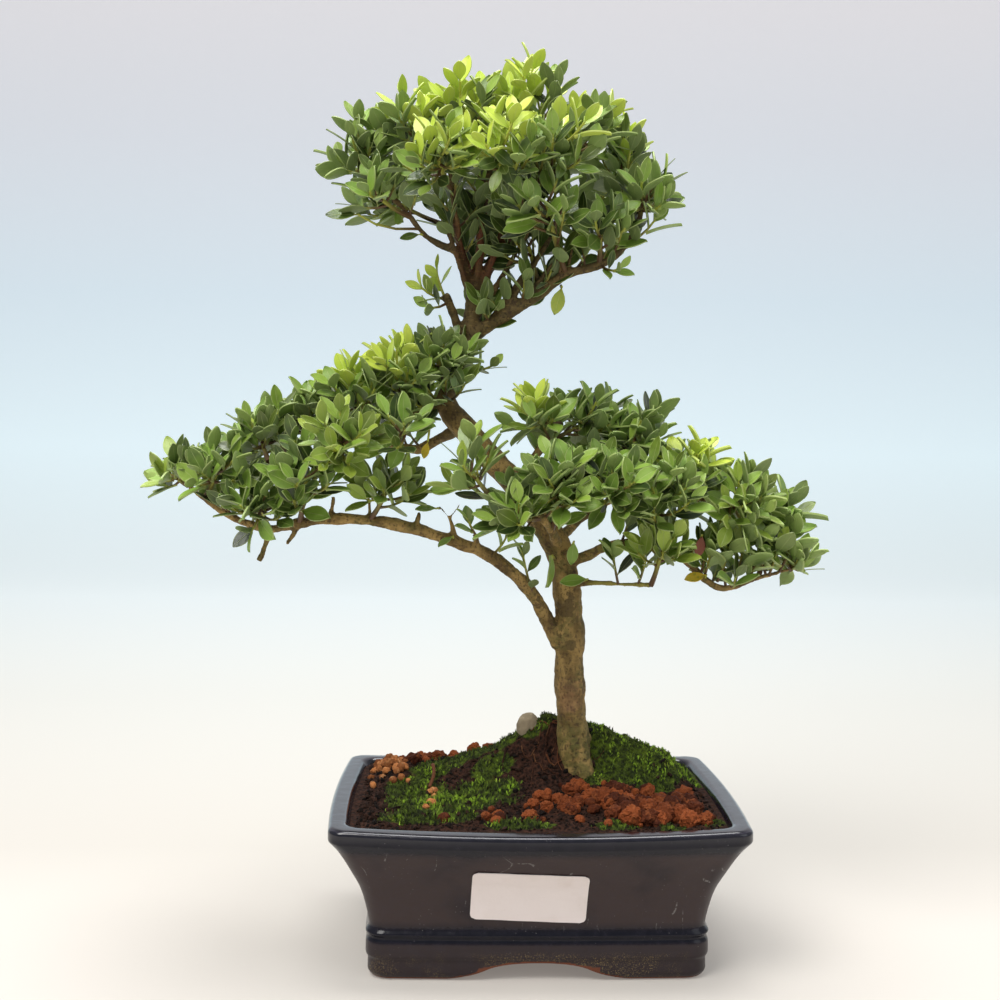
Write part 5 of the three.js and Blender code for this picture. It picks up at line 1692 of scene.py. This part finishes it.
@dataclass
class Litter:
    """What lies on the soil: moss, humus crumbs, clay clods, granules, a stone and thin roots."""

    ground: Ground
    kit: Kit
    # The clods that the solids have too: how many, their sizes, the area they lie in and their seed
    heaps: dict[str, tuple[int, float, float, Area, int]] = field(
        default_factory=lambda: {
            "clay_lumps_right": (15, 8, 11, (4, 72, -52, -26), 5),
            "clay_lumps_back_left": (5, 8, 10, (-60, -38, 42, 56), 8),
            "ochre_lumps_left": (6, 6.5, 9, (-76, -62, 26, 50), 13),
        })
    # Extra clods: the heap they join, how many, their sizes, the area they lie in and how high they are piled
    extras: Sequence[tuple[str, int, float, float, Area, float]] = (
        ("clay_lumps_right", 24, 5, 9.5, (14, 74, -36, -8), 4.0),
        ("clay_lumps_right", 16, 4.5, 8, (2, 26, -46, -18), 1.0),
        ("clay_lumps_right", 12, 4.5, 8, (30, 78, -50, -30), 1.0),
        ("clay_lumps_right", 34, 2.4, 4.6, (0, 80, -54, -4), 1.0),
        ("clay_lumps_right", 9, 3, 7, (-24, 4, -48, -26), 0.0),
        ("clay_lumps_right", 3, 4, 7, (-46, -8, -50, -40), 0.0),
        ("clay_lumps_back_left", 14, 4, 8, (-66, -20, 30, 58), 1.0),
        ("clay_lumps_back_left", 10, 4, 7, (20, 70, 44, 58), 0.5),
        ("ochre_lumps_left", 30, 2.5, 5.5, (-80, -60, 4, 56), 1.5),
        ("ochre_lumps_left", 5, 2.5, 4.5, (-52, -44, -28, -6), 0.5),
    )
    tries: int = 4000
    crumb_seed: int = 411
    crumb_count: int = 4600
    crumb_area: Area = (-82, 82, -60, 60)
    tuft_seed: int = 977
    tuft_tries: int = 26000
    tuft_count: int = 8200
    tuft_area: Area = (-83, 83, -61, 61)
    root_seed: int = 33
    root_count: int = 11
    root_area: Area = (-16, 30, 6, 18)
    root_points: int = 8
    root_step: float = 2.4
    stick: Sequence[Point] = ((-49, 20, 78), (-48.5, 13, 80), (-48, 5, 77.5), (-50, -4, 73.5))
    stone_at: Point = (-1.0, 20.0, 96.5)
    stone_half: Point = (6.5, 5.5, 8.5)
    stone_relief: Sequence[tuple[float, float]] = ((0.008, 0.0022), (0.0016, 0.0003))

    @staticmethod
    def copy_lump(heap: Heap, shape: Shape, at: Point, size: Point, draw: Draw) -> None:
        """Adds one turned copy of a lump to a heap.

        Args:
            heap: the heap.
            shape: the lump.
            at: where the copy lies.
            size: its half sizes.
            draw: the source of its turn and its tone.
        """
        turn = Matrix.Rotation(draw() * math.tau, 3, "X") @ Matrix.Rotation(draw() * math.tau, 3, "Y")
        axes = np.array(turn.transposed()) * np.array(size)[:, None]
        spread = shape.spread(np.array([at]), axes[:1], axes[1:2], axes[2:])
        heap.add(shape, spread, tone=draw())

    def lay_clods(self, finishes: dict[str, Material]) -> None:
        """Lays the clay clods and granules where the solids' heaps lie, and more around them.

        Args:
            finishes: the materials of both clays, by their slots.
        """
        for name, (count, low, high, area, seed) in self.heaps.items():
            draw, heap = Draw(seed), Heap(name.replace("lumps", "clods"))
            placed: list[Point] = []
            for _ in range(self.tries):
                if len(placed) == count:
                    break
                radius = draw.between(low, high) / 2
                x, y = draw.spot(area)
                near = [math.hypot(a - x, b - y) / (r + radius) for a, b, r in placed]
                if near and not 0.72 <= min(near) <= 0.9:
                    continue
                placed.append((x, y, radius))
                turns = draw(), draw(), draw(), draw()
                z = float(self.ground.height(x, y)) + radius * 0.45
                own = Draw(int(turns[0] * 1e6))
                size = (radius, radius * (0.85 + 0.25 * turns[2]), radius * (0.8 + 0.2 * turns[3]))
                self.copy_lump(heap, self.kit.clods[len(placed) % 4], (x, y, z), size, own)
            draw = Draw(seed * 11 + 3)
            for joined, more, small, large, where, piled in self.extras:
                for _ in range(more if joined == name else 0):
                    radius = draw.between(small, large) / 2
                    x, y = draw.spot(where)
                    off_x = (x * 2 - where[0] - where[1]) / (where[1] - where[0])
                    off_y = (y * 2 - where[2] - where[3]) / (where[3] - where[2])
                    pile = piled * max(1 - off_x**2, 0) * max(1 - off_y**2, 0) * draw()
                    z = float(self.ground.height(x, y)) + radius * draw.between(0.15, 0.5) + pile
                    size = tuple(radius * draw.between(0.8, 1.15) for _ in range(3))
                    shapes = self.kit.clods if radius > 2.8 and "ochre" not in name else self.kit.granules
                    self.copy_lump(heap, shapes[int(draw() * 4)], (x, y, z), size, draw)
            slot = Slot.OCHRE_CLAY if "ochre" in name else Slot.RED_CLAY
            enter(heap.build(30), finishes[slot.value], slot, name)

    def strew_humus(self, humus: Material) -> None:
        """Strews crumbs of humus and bark over the soil.

        Args:
            humus: the crumbs' material.
        """
        draw, heap = Draw(self.crumb_seed), Heap("humus_crumbs")
        for number in range(self.crumb_count):
            x, y = draw.spot(self.crumb_area)
            size = draw.between(0.35, 0.85) if number % 9 else draw.between(0.9, 1.6)
            if self.ground.moss(x, y) > 0.45 and number % 27:
                continue
            z = self.ground.top(x, y) + size * 0.3
            stretch = (size * draw.between(0.8, 1.4), size, size * draw.between(0.7, 1.0))
            self.copy_lump(heap, self.kit.crumbs[int(draw() * 4)], (x, y, z), stretch, draw)
        enter(heap.build(20), humus, Slot.SOIL)

    def plant_moss(self, moss: Material) -> None:
        """Plants tufts of moss as thickly as the ground says.

        Args:
            moss: the moss's material.
        """
        draw, heap = Draw(self.tuft_seed), Heap("moss_tufts")
        bases, across, along, ups, tones, fresh = [], [], [], [], [], []
        for _ in range(self.tuft_tries):
            x, y = draw.spot(self.tuft_area)
            thick = self.ground.moss(x, y)
            if draw() > thick * 0.95 - 0.1 or len(bases) >= self.tuft_count:
                continue
            size = draw.between(0.8, 1.5) * (0.7 + 0.5 * thick) * (1.5 if x < 0 and y < 4 else 1.0)
            turn = draw() * math.tau
            lean = np.array([draw.between(-0.25, 0.25), draw.between(-0.25, 0.25), 1.0])
            side = np.array([math.cos(turn), math.sin(turn), 0.0])
            bases.append((x, y, self.ground.top(x, y) - 0.2))
            across.append(side * size)
            along.append(np.cross(lean, side) * size)
            ups.append(lean * size * draw.between(0.9, 1.5))
            tones.append(draw())
            # Painted light: how lit each tuft is painted, which darkens the moss's colour where it is low
            fresh.append(self.ground.brightness(x, y))
        copies = self.kit.tuft.spread(np.array(bases), np.array(across), np.array(along), np.array(ups))
        heap.add(self.kit.tuft, copies, tone=np.array(tones), wilt=np.array(fresh))
        heap.marks["youth"], heap.marks["under"] = heap.marks["under"], heap.marks["youth"]
        enter(heap.build(30), moss, Slot.SOIL)

    def lay_roots(self, bark: Material) -> None:
        """Lays thin roots on the front of the root ball.

        Args:
            bark: the roots' material.
        """
        draw, heap = Draw(self.root_seed), Heap("thin_roots")
        vine = self.kit.vine
        for _ in range(self.root_count):
            x, y = draw.spot(self.root_area)
            heading = draw.between(-2.4, -0.7)
            route = []
            for _ in range(self.root_points):
                route.append((x, y, self.ground.top(x, y) + 0.3))
                heading += draw.between(-0.8, 0.8)
                x, y = x + math.cos(heading) * self.root_step, y + math.sin(heading) * self.root_step
            radii = np.linspace(draw.between(0.3, 0.6), 0.18, self.root_points)
            heap.add(vine, vine.bend(np.array(route), radii), tone=draw())
        stick = curve_through(np.array(self.stick), self.root_points)
        heap.add(vine, vine.bend(stick, np.linspace(1.1, 0.8, self.root_points)), tone=0.9)
        enter(heap.build(60), bark, Slot.BARK)

    def set_stone(self, pebble: Material) -> None:
        """Sets the rounded stone by the trunk's foot.

        Args:
            pebble: the stone's material.
        """
        Bench.clear()
        bpy.ops.mesh.primitive_ico_sphere_add(
            subdivisions=5, radius=1, location=metres(np.array(self.stone_at)).tolist(),
            scale=[h * MM for h in self.stone_half])
        bpy.ops.object.transform_apply(location=True, rotation=True, scale=True)
        stone = bpy.context.object
        stone.name = stone.data.name = "rounded_stone"
        for size, strength in self.stone_relief:
            Bench.roughen(stone, size, strength)
        Bench.smooth(stone, 80)
        enter(stone, pebble, Slot.STONE, "stone")


def curve_through(route: np.ndarray, steps: int) -> np.ndarray:
    """Gives points on a smooth curve through given ones, evenly by their number.

    Args:
        route: the points that it passes.
        steps: how many points to give.

    Returns:
        The points.
    """
    route = np.asarray(route, dtype=float)
    padded = np.concatenate([[2 * route[0] - route[1]], route, [2 * route[-1] - route[-2]]])
    places = np.linspace(0, len(route) - 1, steps)
    index = np.minimum(places.astype(int), len(route) - 2)
    t = (places - index)[:, None]
    a, b, c, d = (padded[index + k] for k in range(4))
    return 0.5 * (2 * b + (c - a) * t + (2 * a - 5 * b + 4 * c - d) * t**2 + (3 * b - a - 3 * c + d) * t**3)


@dataclass
class Wood:
    """The trunk, its limbs and stubs, grown together into one skin."""

    voxel: float = 0.83
    # The clouds that roughen the bark: their size and strength, in metres
    relief: Sequence[tuple[float, float]] = ((0.011, 0.0016), (0.0035, 0.0007))
    points_a_stretch: int = 5
    stub_points: int = 6

    @staticmethod
    def bar(route: np.ndarray, radii: np.ndarray) -> Object:
        """Makes one round limb along a route.

        Args:
            route: points along its middle.
            radii: the radius at each of them.

        Returns:
            The limb.
        """
        Bench.clear()
        bpy.ops.curve.primitive_nurbs_path_add()
        limb = bpy.context.object
        limb.data.splines.clear()
        spline = limb.data.splines.new("POLY")
        spline.points.add(len(route) - 1)
        places = np.concatenate([metres(route), np.ones((len(route), 1))], 1)
        spline.points.foreach_set("co", places.reshape(-1))
        spline.points.foreach_set("radius", radii)
        limb.data.bevel_depth = MM
        limb.data.bevel_resolution = 4
        limb.data.use_fill_caps = True
        bpy.ops.object.convert(target="MESH")
        return bpy.context.object

    def build(self, bark: Material) -> None:
        """Joins all limbs, melts them into one skin and roughens it.

        Args:
            bark: the bark's material.
        """
        limbs = []
        for radii, route in LIMBS.values():
            steps = len(route) * self.points_a_stretch
            thick = np.interp(np.linspace(0, 1, steps), np.linspace(0, 1, len(radii)), radii)
            along = np.arange(steps)
            swell = 1 + 0.05 * np.sin(along * 0.9 + len(route)) + 0.03 * np.sin(along * 2.3)
            limbs.append(self.bar(curve_through(np.array(route), steps), thick * swell))
        for start, end, foot, tip in STUBS:
            line = np.linspace(start, end, self.stub_points)
            line[1:-1, 0] += 0.4
            limbs.append(self.bar(line, np.linspace(foot, tip, self.stub_points)))
        Bench.pick(*limbs)
        bpy.ops.object.join()
        wood = bpy.context.object
        wood.name = wood.data.name = "holly_wood"
        Bench.modify(wood, "REMESH", mode="VOXEL", voxel_size=self.voxel * MM)
        Bench.modify(wood, "SMOOTH", factor=0.6, iterations=3)
        for size, strength in self.relief:
            Bench.roughen(wood, size, strength)
        Bench.smooth(wood, 85)
        enter(wood, bark, Slot.BARK, "trunk")


def around_axis(axis: np.ndarray, turn: float) -> np.ndarray:
    """Gives the direction that points away from an axis at a turn round it.

    Args:
        axis: the axis.
        turn: the turn, in radians.

    Returns:
        The direction.
    """
    sideways = unit(np.cross(TURN_START, axis))
    across = np.cross(axis, sideways)
    return sideways * math.cos(turn) + across * math.sin(turn)


@dataclass(frozen=True)
class Leaf:
    """Where one leaf grows and how it looks."""

    base: np.ndarray
    along: np.ndarray
    face: np.ndarray
    length: float
    width: float
    youth: float
    tone: float
    wilt: float = 0.0


@dataclass
class Foliage:
    """Leafy sprays: each a stem with shoots that fan out, and leaves all round their ends."""

    kit: Kit
    finish: Material
    leaf_length: float = 15.6
    leaf_width: float = 7.3
    fillers: int = 5
    filler_seed: int = 5000
    lift: float = 0.5
    gap: float = 1.74
    gap_growth: float = 0.232
    stem_points: int = 8

    def rise(self, foot: np.ndarray, tip: np.ndarray) -> np.ndarray:
        """Gives the direction in which a shoot ends, which is turned up towards the light."""
        return unit(unit(tip - foot) + UP * self.lift)

    def route_shoot(self, foot: np.ndarray, tip: np.ndarray, places: np.ndarray | float) -> np.ndarray:
        """Gives points at shares of a shoot that bends up towards its tip.

        Args:
            foot: where the shoot starts.
            tip: where it ends.
            places: the shares, 0 at its foot and 1 at its tip.

        Returns:
            The points.
        """
        t = np.asarray(places, dtype=float)[..., None]
        knee = tip - self.rise(foot, tip) * (np.linalg.norm(tip - foot) * 0.45)
        return (1 - t) ** 2 * foot + 2 * t * (1 - t) * knee + t**2 * tip

    def grow_leaves(
        self,
        foot: np.ndarray,
        tip: np.ndarray,
        youth: float,
        draw: Draw,
        region: str,
        scale: float = 1.0,
    ) -> list[Leaf]:
        """Sets leaves on a shoot, from its tip back, turned by the golden angle from one to the next.

        Args:
            foot: where the shoot starts.
            tip: where it ends.
            youth: how much of it is this year's growth.
            draw: the source of its random numbers.
            region: the region of foliage, whose leaves face away from its middle.
            scale: the size of the leaves, next to the usual one.

        Returns:
            The leaves.
        """
        length = float(np.linalg.norm(tip - foot))
        axis = self.rise(foot, tip)
        heart, spreads, least = (np.array(part) for part in HEARTS[region])
        outward = unit(tip - heart)
        # Painted shade: leaves near the region's middle are painted darker, as if shaded by the rest, and
        # those farther out lighter
        light = float(least + 0.8 * smoothstep(np.linalg.norm((tip - heart) / spreads), 0.35, 1.0))
        start = draw() * math.tau
        leaves = []
        for j in range(7 + int(draw() * 3)):
            place = 1 - (j * (self.gap + self.gap_growth * j)) / length
            spread = 0.35 + 0.14 * min(j, 5) + draw.between(-0.12, 0.12)
            size = draw.between(0.85, 1.15) * (0.72 if j == 0 else min(1, 0.78 + 0.07 * j))
            roll = draw.between(-0.35, 0.35)
            if place < 0.1:
                continue
            out = around_axis(axis, start + j * GOLDEN_TURN)
            along = unit(axis * math.cos(spread) + out * math.sin(spread) + UP * 0.1)
            face = axis * 0.5 + UP * 0.4 - out * 0.3 + outward * 0.6
            face = unit(face - along * np.dot(face, along))
            face = face * math.cos(roll * 1.7) + np.cross(along, face) * math.sin(roll * 1.7)
            shade = (size * 7919 + roll * 104729) % 1
            fresh = min(max(youth * (1.15 - 0.09 * j) + (0.12 if j < 2 else 0) - 0.25 * shade * youth, 0), 1)
            leaves.append(Leaf(
                self.route_shoot(foot, tip, place), along, face, self.leaf_length * size * scale,
                self.leaf_width * size * scale * (0.86 + 0.28 * (shade * 7 % 1)), fresh, shade * light))
        return leaves

    def put_leaves(self, heap: Heap, leaves: list[Leaf]) -> None:
        """Adds leaves to a heap, each with its own curl.

        Args:
            heap: the heap.
            leaves: the leaves.
        """
        if not leaves:
            return
        base = np.array([leaf.base for leaf in leaves])
        along = np.array([leaf.along * leaf.length for leaf in leaves])
        face = np.array([leaf.face * leaf.length * (0.5 + 1.3 * leaf.tone) for leaf in leaves])
        across = np.array([np.cross(leaf.along, leaf.face) * leaf.width for leaf in leaves])
        youth, tone, wilt = np.array([(leaf.youth, leaf.tone, leaf.wilt) for leaf in leaves]).T
        copies = self.kit.leaf.spread(base, across, along, face)
        heap.add(self.kit.leaf, copies, youth=youth, tone=tone, wilt=wilt)

    def put_shoot(self, heap: Heap, foot: np.ndarray, tip: np.ndarray, youth: float, tone: float) -> None:
        """Adds the bare wood of a shoot to a heap.

        Args:
            heap: the heap.
            foot: where the shoot starts.
            tip: where it ends.
            youth: how much of it is this year's growth.
            tone: how light it is.
        """
        route = self.route_shoot(foot, tip, np.linspace(0, 1, 4))
        bar = self.kit.twig.bend(route, np.array([0.72, 0.64, 0.58, 0.5]))
        heap.add(self.kit.twig, bar, wood=1.0, youth=youth, tone=tone)

    def grow_spray(self, index: int) -> None:
        """Grows the spray of one row in the table, with all its leaves, as one piece.

        Args:
            index: the row's number.
        """
        name, limb, number, middle, half, shoots, youth = SPRAYS[index]
        draw, heap = Draw(101 + 37 * index), Heap(f"foliage_{name}")
        region = name.split("_")[0]
        reached, filling = SPARSE_SPRAYS.get(name, (1.0, self.fillers))
        root, centre = np.array(LIMBS[limb][1][number], dtype=float), np.array(middle, dtype=float)
        rise = centre - root
        bend = (root + centre) / 2 - UP * 0.1 * np.linalg.norm(rise)
        axis = unit(unit(rise) * 0.7 + UP * 0.6)

        def stem(t: float) -> np.ndarray:
            """Gives the place at a share of the stem."""
            return (1 - t) ** 2 * root + 2 * t * (1 - t) * bend + t**2 * centre

        route = np.array([stem(t) for t in np.linspace(0, 1, self.stem_points)])
        bar = self.kit.vine.bend(route, np.linspace(1.45, 0.8, self.stem_points))
        heap.add(self.kit.vine, bar, wood=1.0, youth=0.1, tone=0.3)
        leaves: list[Leaf] = []
        fillers = Draw(self.filler_seed + 97 * index)
        for k in range(shoots + filling):
            inner = k - shoots
            source = draw if inner < 0 else fillers
            if inner < 0:
                tilt = math.acos(1 - 1.25 * (k + 0.5) / shoots)
                turn = k * GOLDEN_TURN + source.between(-0.35, 0.35)
                reach, start = source.between(0.85, 1.1), 1 - 0.45 * (k / shoots)
            else:
                tilt = math.acos(1 - 1.7 * (inner + 0.5) / filling)
                turn = inner * GOLDEN_TURN + 1.2 + source.between(-0.35, 0.35)
                reach, start = source.between(0.5, 1.0), 1 - 0.6 * source()
            out = around_axis(axis, turn)
            tip = centre + np.array(half) * (axis * math.cos(tilt) + out * math.sin(tilt)) * reach * reached
            foot = stem(start)
            high = (tip[2] - centre[2]) / half[2]
            new = high > 1.1 - 1.5 * youth and (k * 0.37) % 1 < 0.5 + 0.35 * youth
            fresh = youth if youth <= 0.3 else 1.0 if new else 0.1
            leaves += self.grow_leaves(foot, tip, fresh, source, region)
            self.put_shoot(heap, foot, tip, fresh, (k * 0.37) % 1)
        self.put_leaves(heap, leaves)
        slot = Slot.YOUNG_LEAVES if name in YOUNG_SPRAYS else Slot.OLD_LEAVES
        enter(heap.build(), self.finish, slot, f"spray_{name}")

    def grow_inner_shoots(self, region: str) -> None:
        """Grows short leafy shoots along the limbs of one region, where the sprays leave gaps.

        Args:
            region: a key of the table of inner shoots.
        """
        heap, leaves = Heap(f"inner_shoots_{region}"), []
        for limb, first, last, spacing in INNER_SHOOTS[region]:
            draw = Draw(7000 + sum(ord(letter) for letter in limb))
            radii, route = LIMBS[limb]
            steps = max(int(len(route) * 12 * (last - first)), 4)
            line = curve_through(np.array(route), 400)[int(first * 399):int(last * 399) + 1]
            line = line[np.linspace(0, len(line) - 1, steps).astype(int)]
            run = np.concatenate([[0], np.cumsum(np.linalg.norm(np.diff(line, axis=0), axis=1))])
            for number, at in enumerate(np.arange(spacing * 0.5, run[-1], spacing)):
                foot = np.array([np.interp(at + draw.between(-2, 2), run, line[:, k]) for k in range(3)])
                ahead = unit(line[min(int(np.searchsorted(run, at)) + 1, steps - 1)] - foot + UP * 1e-6)
                out = around_axis(ahead, number * GOLDEN_TURN + draw.between(-0.5, 0.5))
                out[2] = abs(out[2])
                way = unit(out + ahead * 0.4 + UP * 0.5)
                tip = foot + way * draw.between(9, 17)
                leaves += self.grow_leaves(foot, tip, 0.12 * draw(), draw, region)
                self.put_shoot(heap, foot, tip, 0.0, draw())
        self.put_leaves(heap, leaves)
        enter(heap.build(), self.finish, Slot.OLD_LEAVES)

    def grow_stray_shoots(self) -> None:
        """Grows the few shoots and leaves that stand apart from the sprays."""
        heap = Heap("stray_shoots")
        leaves: list[Leaf] = []
        for number, (foot, tip, youth, scale) in enumerate(STRAY_SHOOTS):
            foot, tip = np.array(foot, dtype=float), np.array(tip, dtype=float)
            region = "crown" if tip[2] > 290 else "right" if tip[0] > 60 else "left"
            leaves += self.grow_leaves(foot, tip, youth, Draw(900 + number), region, scale)
            self.put_shoot(heap, foot, tip, youth, 0.5)
        for number, row in enumerate(STRAY_LEAVES):
            foot, base, way, face = (np.array(part, dtype=float) for part in row[:4])
            length, wilt = row[4]
            along = unit(way)
            face = unit(face - along * np.dot(face, along))
            leaves.append(Leaf(base, along, face, length, length * 0.5, 0.1, 0.3 + 0.09 * number, wilt))
            self.put_shoot(heap, foot, base, 0.3, 0.5)
        self.put_leaves(heap, leaves)
        enter(heap.build(), self.finish, Slot.OLD_LEAVES)


@dataclass
class Studio:
    """Pale paper under and behind the tree, soft lights and the camera."""

    lens: float = 49.57
    eye: Point = (-17.7, -656.4, 245.5)
    pitch: float = 0.052
    roll: float = 0.012
    yaw: float = 0.034
    sweep_start: float = 1.5
    sweep_radius: float = 2.2
    paper_top: float = 6.0

    def set_camera(self) -> None:
        """Stands the camera where it looks at the tree as in the photograph."""
        sine, cosine = math.sin(self.pitch), math.cos(self.pitch)
        rs, rc = math.sin(self.roll), math.cos(self.roll)
        turn = Matrix.Rotation(-self.yaw, 3, "Z")
        right = turn @ Vector((rc, sine * rs, cosine * rs))
        up = turn @ Vector((-rs, sine * rc, cosine * rc))
        back = turn @ Vector((0, -cosine, sine))
        place = Vector(metres(np.array(turn @ Vector(self.eye))).tolist())
        bpy.ops.object.camera_add()
        camera = bpy.context.object
        camera.name = "camera"
        camera.data.lens = self.lens
        camera.data.sensor_width = 36.0
        camera.data.clip_start = 0.01
        axes = Matrix((right, up, back)).transposed().to_4x4()
        camera.matrix_world = Matrix.Translation(place) @ axes
        bpy.context.scene.camera = camera

    def hang_paper(self, paper: Material) -> None:
        """Lays the floor and sweeps it up behind the tree.

        Args:
            paper: the paper's material.
        """
        start, radius = self.sweep_start, self.sweep_radius
        turns = np.linspace(0, math.pi / 2, 25)
        sweep = np.stack([start + radius * np.sin(turns), radius - radius * np.cos(turns)], 1)
        line = np.concatenate([[[-4.0, 0.0], [0.0, 0.0]], sweep, [[start + radius, self.paper_top]]])
        across = np.linspace(-5, 5, 3)
        rows = np.array([[(x, y, z - 0.0004) for x in across] for y, z in line])
        paper_sheet = Bench.sheet("studio_paper", rows)
        with Bench.editing(paper_sheet):
            bpy.ops.mesh.select_all(action="SELECT")
            bpy.ops.mesh.flip_normals()
        Bench.smooth(paper_sheet, 60)
        paper_sheet.data.materials.append(paper)

    def light(self) -> None:
        """Hangs soft lights and lets the room glow."""
        lamps = [
            ("key", (-0.6, -0.7, 1.3), 0.8, 16.0, (1.0, 0.98, 0.95)),
            ("fill", (1.1, -0.8, 0.9), 1.2, 4.0, (0.93, 0.96, 1.0)),
            ("top", (0.05, 0.1, 1.5), 0.9, 21.0, (1.0, 1.0, 1.0)),
        ]
        for name, place, size, power, colour in lamps:
            data = bpy.data.lights.new(name, "AREA")
            data.shape = "DISK"
            data.size, data.energy, data.color = size, power, colour
            lamp = bpy.data.objects.new(name, data)
            bpy.context.scene.collection.objects.link(lamp)
            lamp.location = place
            lamp.rotation_euler = (Vector((0, 0, 0.2)) - Vector(place)).to_track_quat("-Z", "Y").to_euler()
        world = bpy.data.worlds.new("room")
        world.use_nodes = True
        background = world.node_tree.nodes["Background"]
        background.inputs["Color"].default_value = (0.92, 0.95, 1.0, 1.0)
        background.inputs["Strength"].default_value = 0.45
        scene = bpy.context.scene
        scene.world = world
        scene.view_settings.view_transform = "Standard"
        scene.view_settings.look = "None"


def main() -> None:
    """Builds every piece of the tree, then the studio round it."""
    logging.basicConfig(level=logging.INFO, format="%(message)s")
    Bench.clear()
    red = GrainFinish("red_clay", srgb(66, 28, 12), srgb(138, 70, 34), srgb(148, 82, 44), 1.0, 1.1)
    ochre = GrainFinish("ochre_clay", srgb(124, 72, 38), srgb(192, 124, 72), srgb(204, 150, 100), 1.0, 0.8)
    humus = GrainFinish("humus", srgb(11, 7, 5), srgb(52, 32, 22), srgb(36, 23, 16), 0.5)
    root = GrainFinish("thin_root", srgb(40, 20, 12), srgb(98, 58, 34), srgb(120, 84, 54), 0.3)
    pebble = GrainFinish("grey_stone", srgb(146, 132, 108), srgb(202, 188, 162), srgb(176, 162, 136), 0.3)
    bark = BarkFinish().build()
    plan = Plan()
    pot = Pot(plan)
    pot.build(GlazeFinish().build())
    Label(pot).build(PaperFinish().build())
    net = NetFinish().build()
    for side in ("left", "right"):
        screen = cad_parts[f"drain_screen_{side}"]
        screen.data.materials.clear()
        screen.data.materials.append(net)
        LOG.info("drain screen %s: finish", side)
    ground = Ground(plan)
    ground.build(SoilFinish().build())
    kit = Kit()
    litter = Litter(ground, kit)
    litter.lay_clods({"red_clay": red.build(), "ochre_clay": ochre.build()})
    litter.strew_humus(humus.build())
    litter.plant_moss(MossFinish().build())
    litter.lay_roots(root.build())
    litter.set_stone(pebble.build())
    Wood().build(bark)
    foliage = Foliage(kit, LeafFinish().build())
    for index in range(len(SPRAYS)):
        foliage.grow_spray(index)
    for region in INNER_SHOOTS:
        foliage.grow_inner_shoots(region)
    foliage.grow_stray_shoots()
    studio = Studio()
    studio.hang_paper(BackdropFinish().build())
    studio.light()
    studio.set_camera()


if __name__ == "__main__":
    main()
